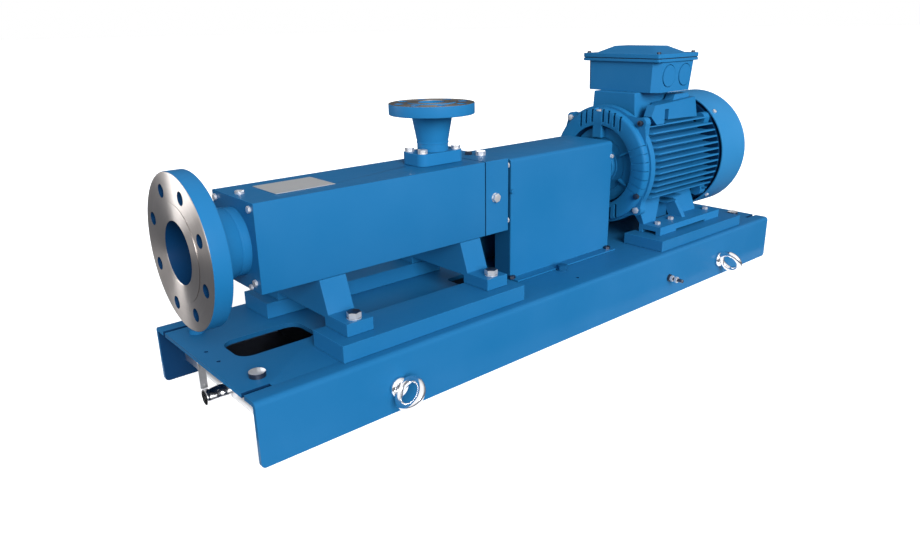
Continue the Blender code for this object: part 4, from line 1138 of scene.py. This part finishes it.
# %% [markdown]
# ## Floor, light and camera
# The set stands on a plain pale floor, which is bright to the camera and in reflections close by, and dim
# to all other rays, so that undersides stay dark. One broad soft light comes from the camera's right and
# above. Three small ones reach only the bare metal, the zinc bolts and the cast parts. A pale sky does
# the rest, and its reflection is brightest behind the camera. The camera's place and lens were worked out
# from the lines of the machine itself.

# %% Floor
floor_shape = bmesh.new()
bmesh.ops.create_grid(floor_shape, x_segments=4, y_segments=4, size=60)
floor = make_object("floor", floor_shape)
WHITE, NEAR = (1, 1, 1, 1), 0.09
floor_paint = new_finish("floor_finish", coat, (0.93, 0.93, 0.93), 0.7, 0.02, {
    "Specular IOR Level": 0.2, "Emission Color": WHITE, "Emission Strength": 0.6}, Drift=0.01)
tree = floor_paint.node_tree
dim = add_node(tree, "ShaderNodeBsdfDiffuse", {"Color": (0.22, 0.225, 0.24, 1)})
rays = add_node(tree, "ShaderNodeLightPath").outputs
close_by = maths(tree, "LESS_THAN", rays["Ray Length"], NEAR)
mirrored_here = maths(tree, "MULTIPLY", close_by, rays["Is Glossy Ray"])
bright = maths(tree, "MAXIMUM", rays["Is Camera Ray"], mirrored_here)
pick = add_node(tree, "ShaderNodeMixShader",
                {0: bright, 1: dim.outputs[0], 2: tree.nodes["Principled BSDF"].outputs[0]})
feed(tree, tree.nodes["Material Output"], {"Surface": pick.outputs[0]})
floor.data.materials.append(floor_paint)
print("floor", [round(v, 1) for v in floor.dimensions])


# %% Lights
def soft_light(name, place, aim, size, power):
    data = bpy.data.lights.new(name, "AREA")
    data.shape = "RECTANGLE"
    data.size, data.size_y = size
    data.energy = power
    lamp = add_object(name, data)
    lamp.location = place
    lamp.rotation_euler = (Vector(aim) - Vector(place)).to_track_quat("-Z", "Y").to_euler()
    lamp.visible_camera = False
    return lamp


def shine_on(lamp, finishes):
    """Let a light reach only the pieces that wear one of some finishes."""
    lit = bpy.data.collections.new("lit_by_" + lamp.name)
    for thing in bpy.data.objects:
        if any(m and m.name in finishes for m in getattr(thing.data, "materials", ())):
            lit.objects.link(thing)
    lamp.light_linking.receiver_collection = lit
    return len(lit.objects)


sun = bpy.data.lights.new("key_light", "SUN")
sun.energy, sun.angle = 3.7, math.radians(32)
key = add_object("key_light", sun)
key.rotation_euler = Vector((0.32, 0.95, -0.42)).to_track_quat("-Z", "Y").to_euler()
glint = soft_light("metal_light", (-2.41, 2.49, 0.6), (-0.76, 0, 0.3), (1.1, 1.1), 34)
shine_on(glint, ("turned_flange_steel", "outlet_face_steel", "polished_steel", "rolled_stainless"))
gleam = soft_light("bolt_light", (2.6, 3.1, 2.1), (0, 0, 0.3), (3.0, 1.6), 90)
print("bolts and eyes in the second light", shine_on(gleam, ("zinc_plated_steel",)))
lamp = soft_light("motor_light", (-0.3, -2.2, 1.3), (0.45, 0, 0.38), (1.2, 1.2), 18)
print("cast pieces in the third light", shine_on(lamp, ("cast_paint",)))

# %% Sky
world = bpy.data.worlds.new("studio")
bpy.context.scene.world = world
world.use_nodes = True
sky = world.node_tree
way = add_node(sky, "ShaderNodeTexCoord").outputs["Generated"]
height = add_node(sky, "ShaderNodeSeparateXYZ", {0: way}).outputs["Z"]
fade = add_node(sky, "ShaderNodeMapRange",
                {"Value": height, "From Max": 0.9, "To Min": 1.35, "To Max": 0.35})
plain_sky = sky.nodes["Background"]
feed(sky, plain_sky, {"Color": (0.92, 0.96, 1.0, 1), "Strength": fade.outputs["Result"]})
BEHIND_CAMERA = (-0.55, -0.62, 0.56)
glow = add_node(sky, "ShaderNodeMapRange", {
    "Value": vector_maths(sky, "DOT_PRODUCT", way, BEHIND_CAMERA)["Value"],
    "From Min": -0.45, "From Max": 0.55, "To Min": 0.12, "To Max": 1.5})
glossy_sky = add_node(sky, "ShaderNodeBackground", {"Strength": glow.outputs["Result"]})
white_sky = add_node(sky, "ShaderNodeBackground", {"Color": WHITE})
rays = add_node(sky, "ShaderNodeLightPath").outputs
bounce = add_node(sky, "ShaderNodeMixShader",
                  {0: rays["Is Glossy Ray"], 1: plain_sky.outputs[0], 2: glossy_sky.outputs[0]})
pick = add_node(sky, "ShaderNodeMixShader",
                {0: rays["Is Camera Ray"], 1: bounce.outputs[0], 2: white_sky.outputs[0]})
feed(sky, sky.nodes["World Output"], {"Surface": pick.outputs[0]})
print("sky nodes", len(sky.nodes))

# %% Camera
IMAGE_WIDTH, FOCAL_PIXELS, SENSOR = 920, 727.01, 36.0
heading, dip, roll = (math.radians(v) for v in (41.09, 18.41, -0.92))
ahead = Vector((math.sin(heading) * math.cos(dip), math.cos(heading) * math.cos(dip), -math.sin(dip)))
level_right = Vector((math.cos(heading), -math.sin(heading), 0))
level_up = level_right.cross(ahead)
right = level_right * math.cos(roll) + level_up * math.sin(roll)
up = level_up * math.cos(roll) - level_right * math.sin(roll)
lens = bpy.data.cameras.new("camera")
lens.sensor_width = SENSOR
lens.lens = FOCAL_PIXELS / IMAGE_WIDTH * SENSOR
lens.clip_end = 200
camera = add_object("camera", lens)
turned_to_view = Matrix((right, up, -ahead)).transposed().to_4x4()
camera.matrix_world = Matrix.Translation((-1.14604, -1.09845, 0.62543)) @ turned_to_view
bpy.context.scene.camera = camera
bpy.context.scene.view_settings.view_transform = "Standard"
print("lens in mm", round(lens.lens, 2))
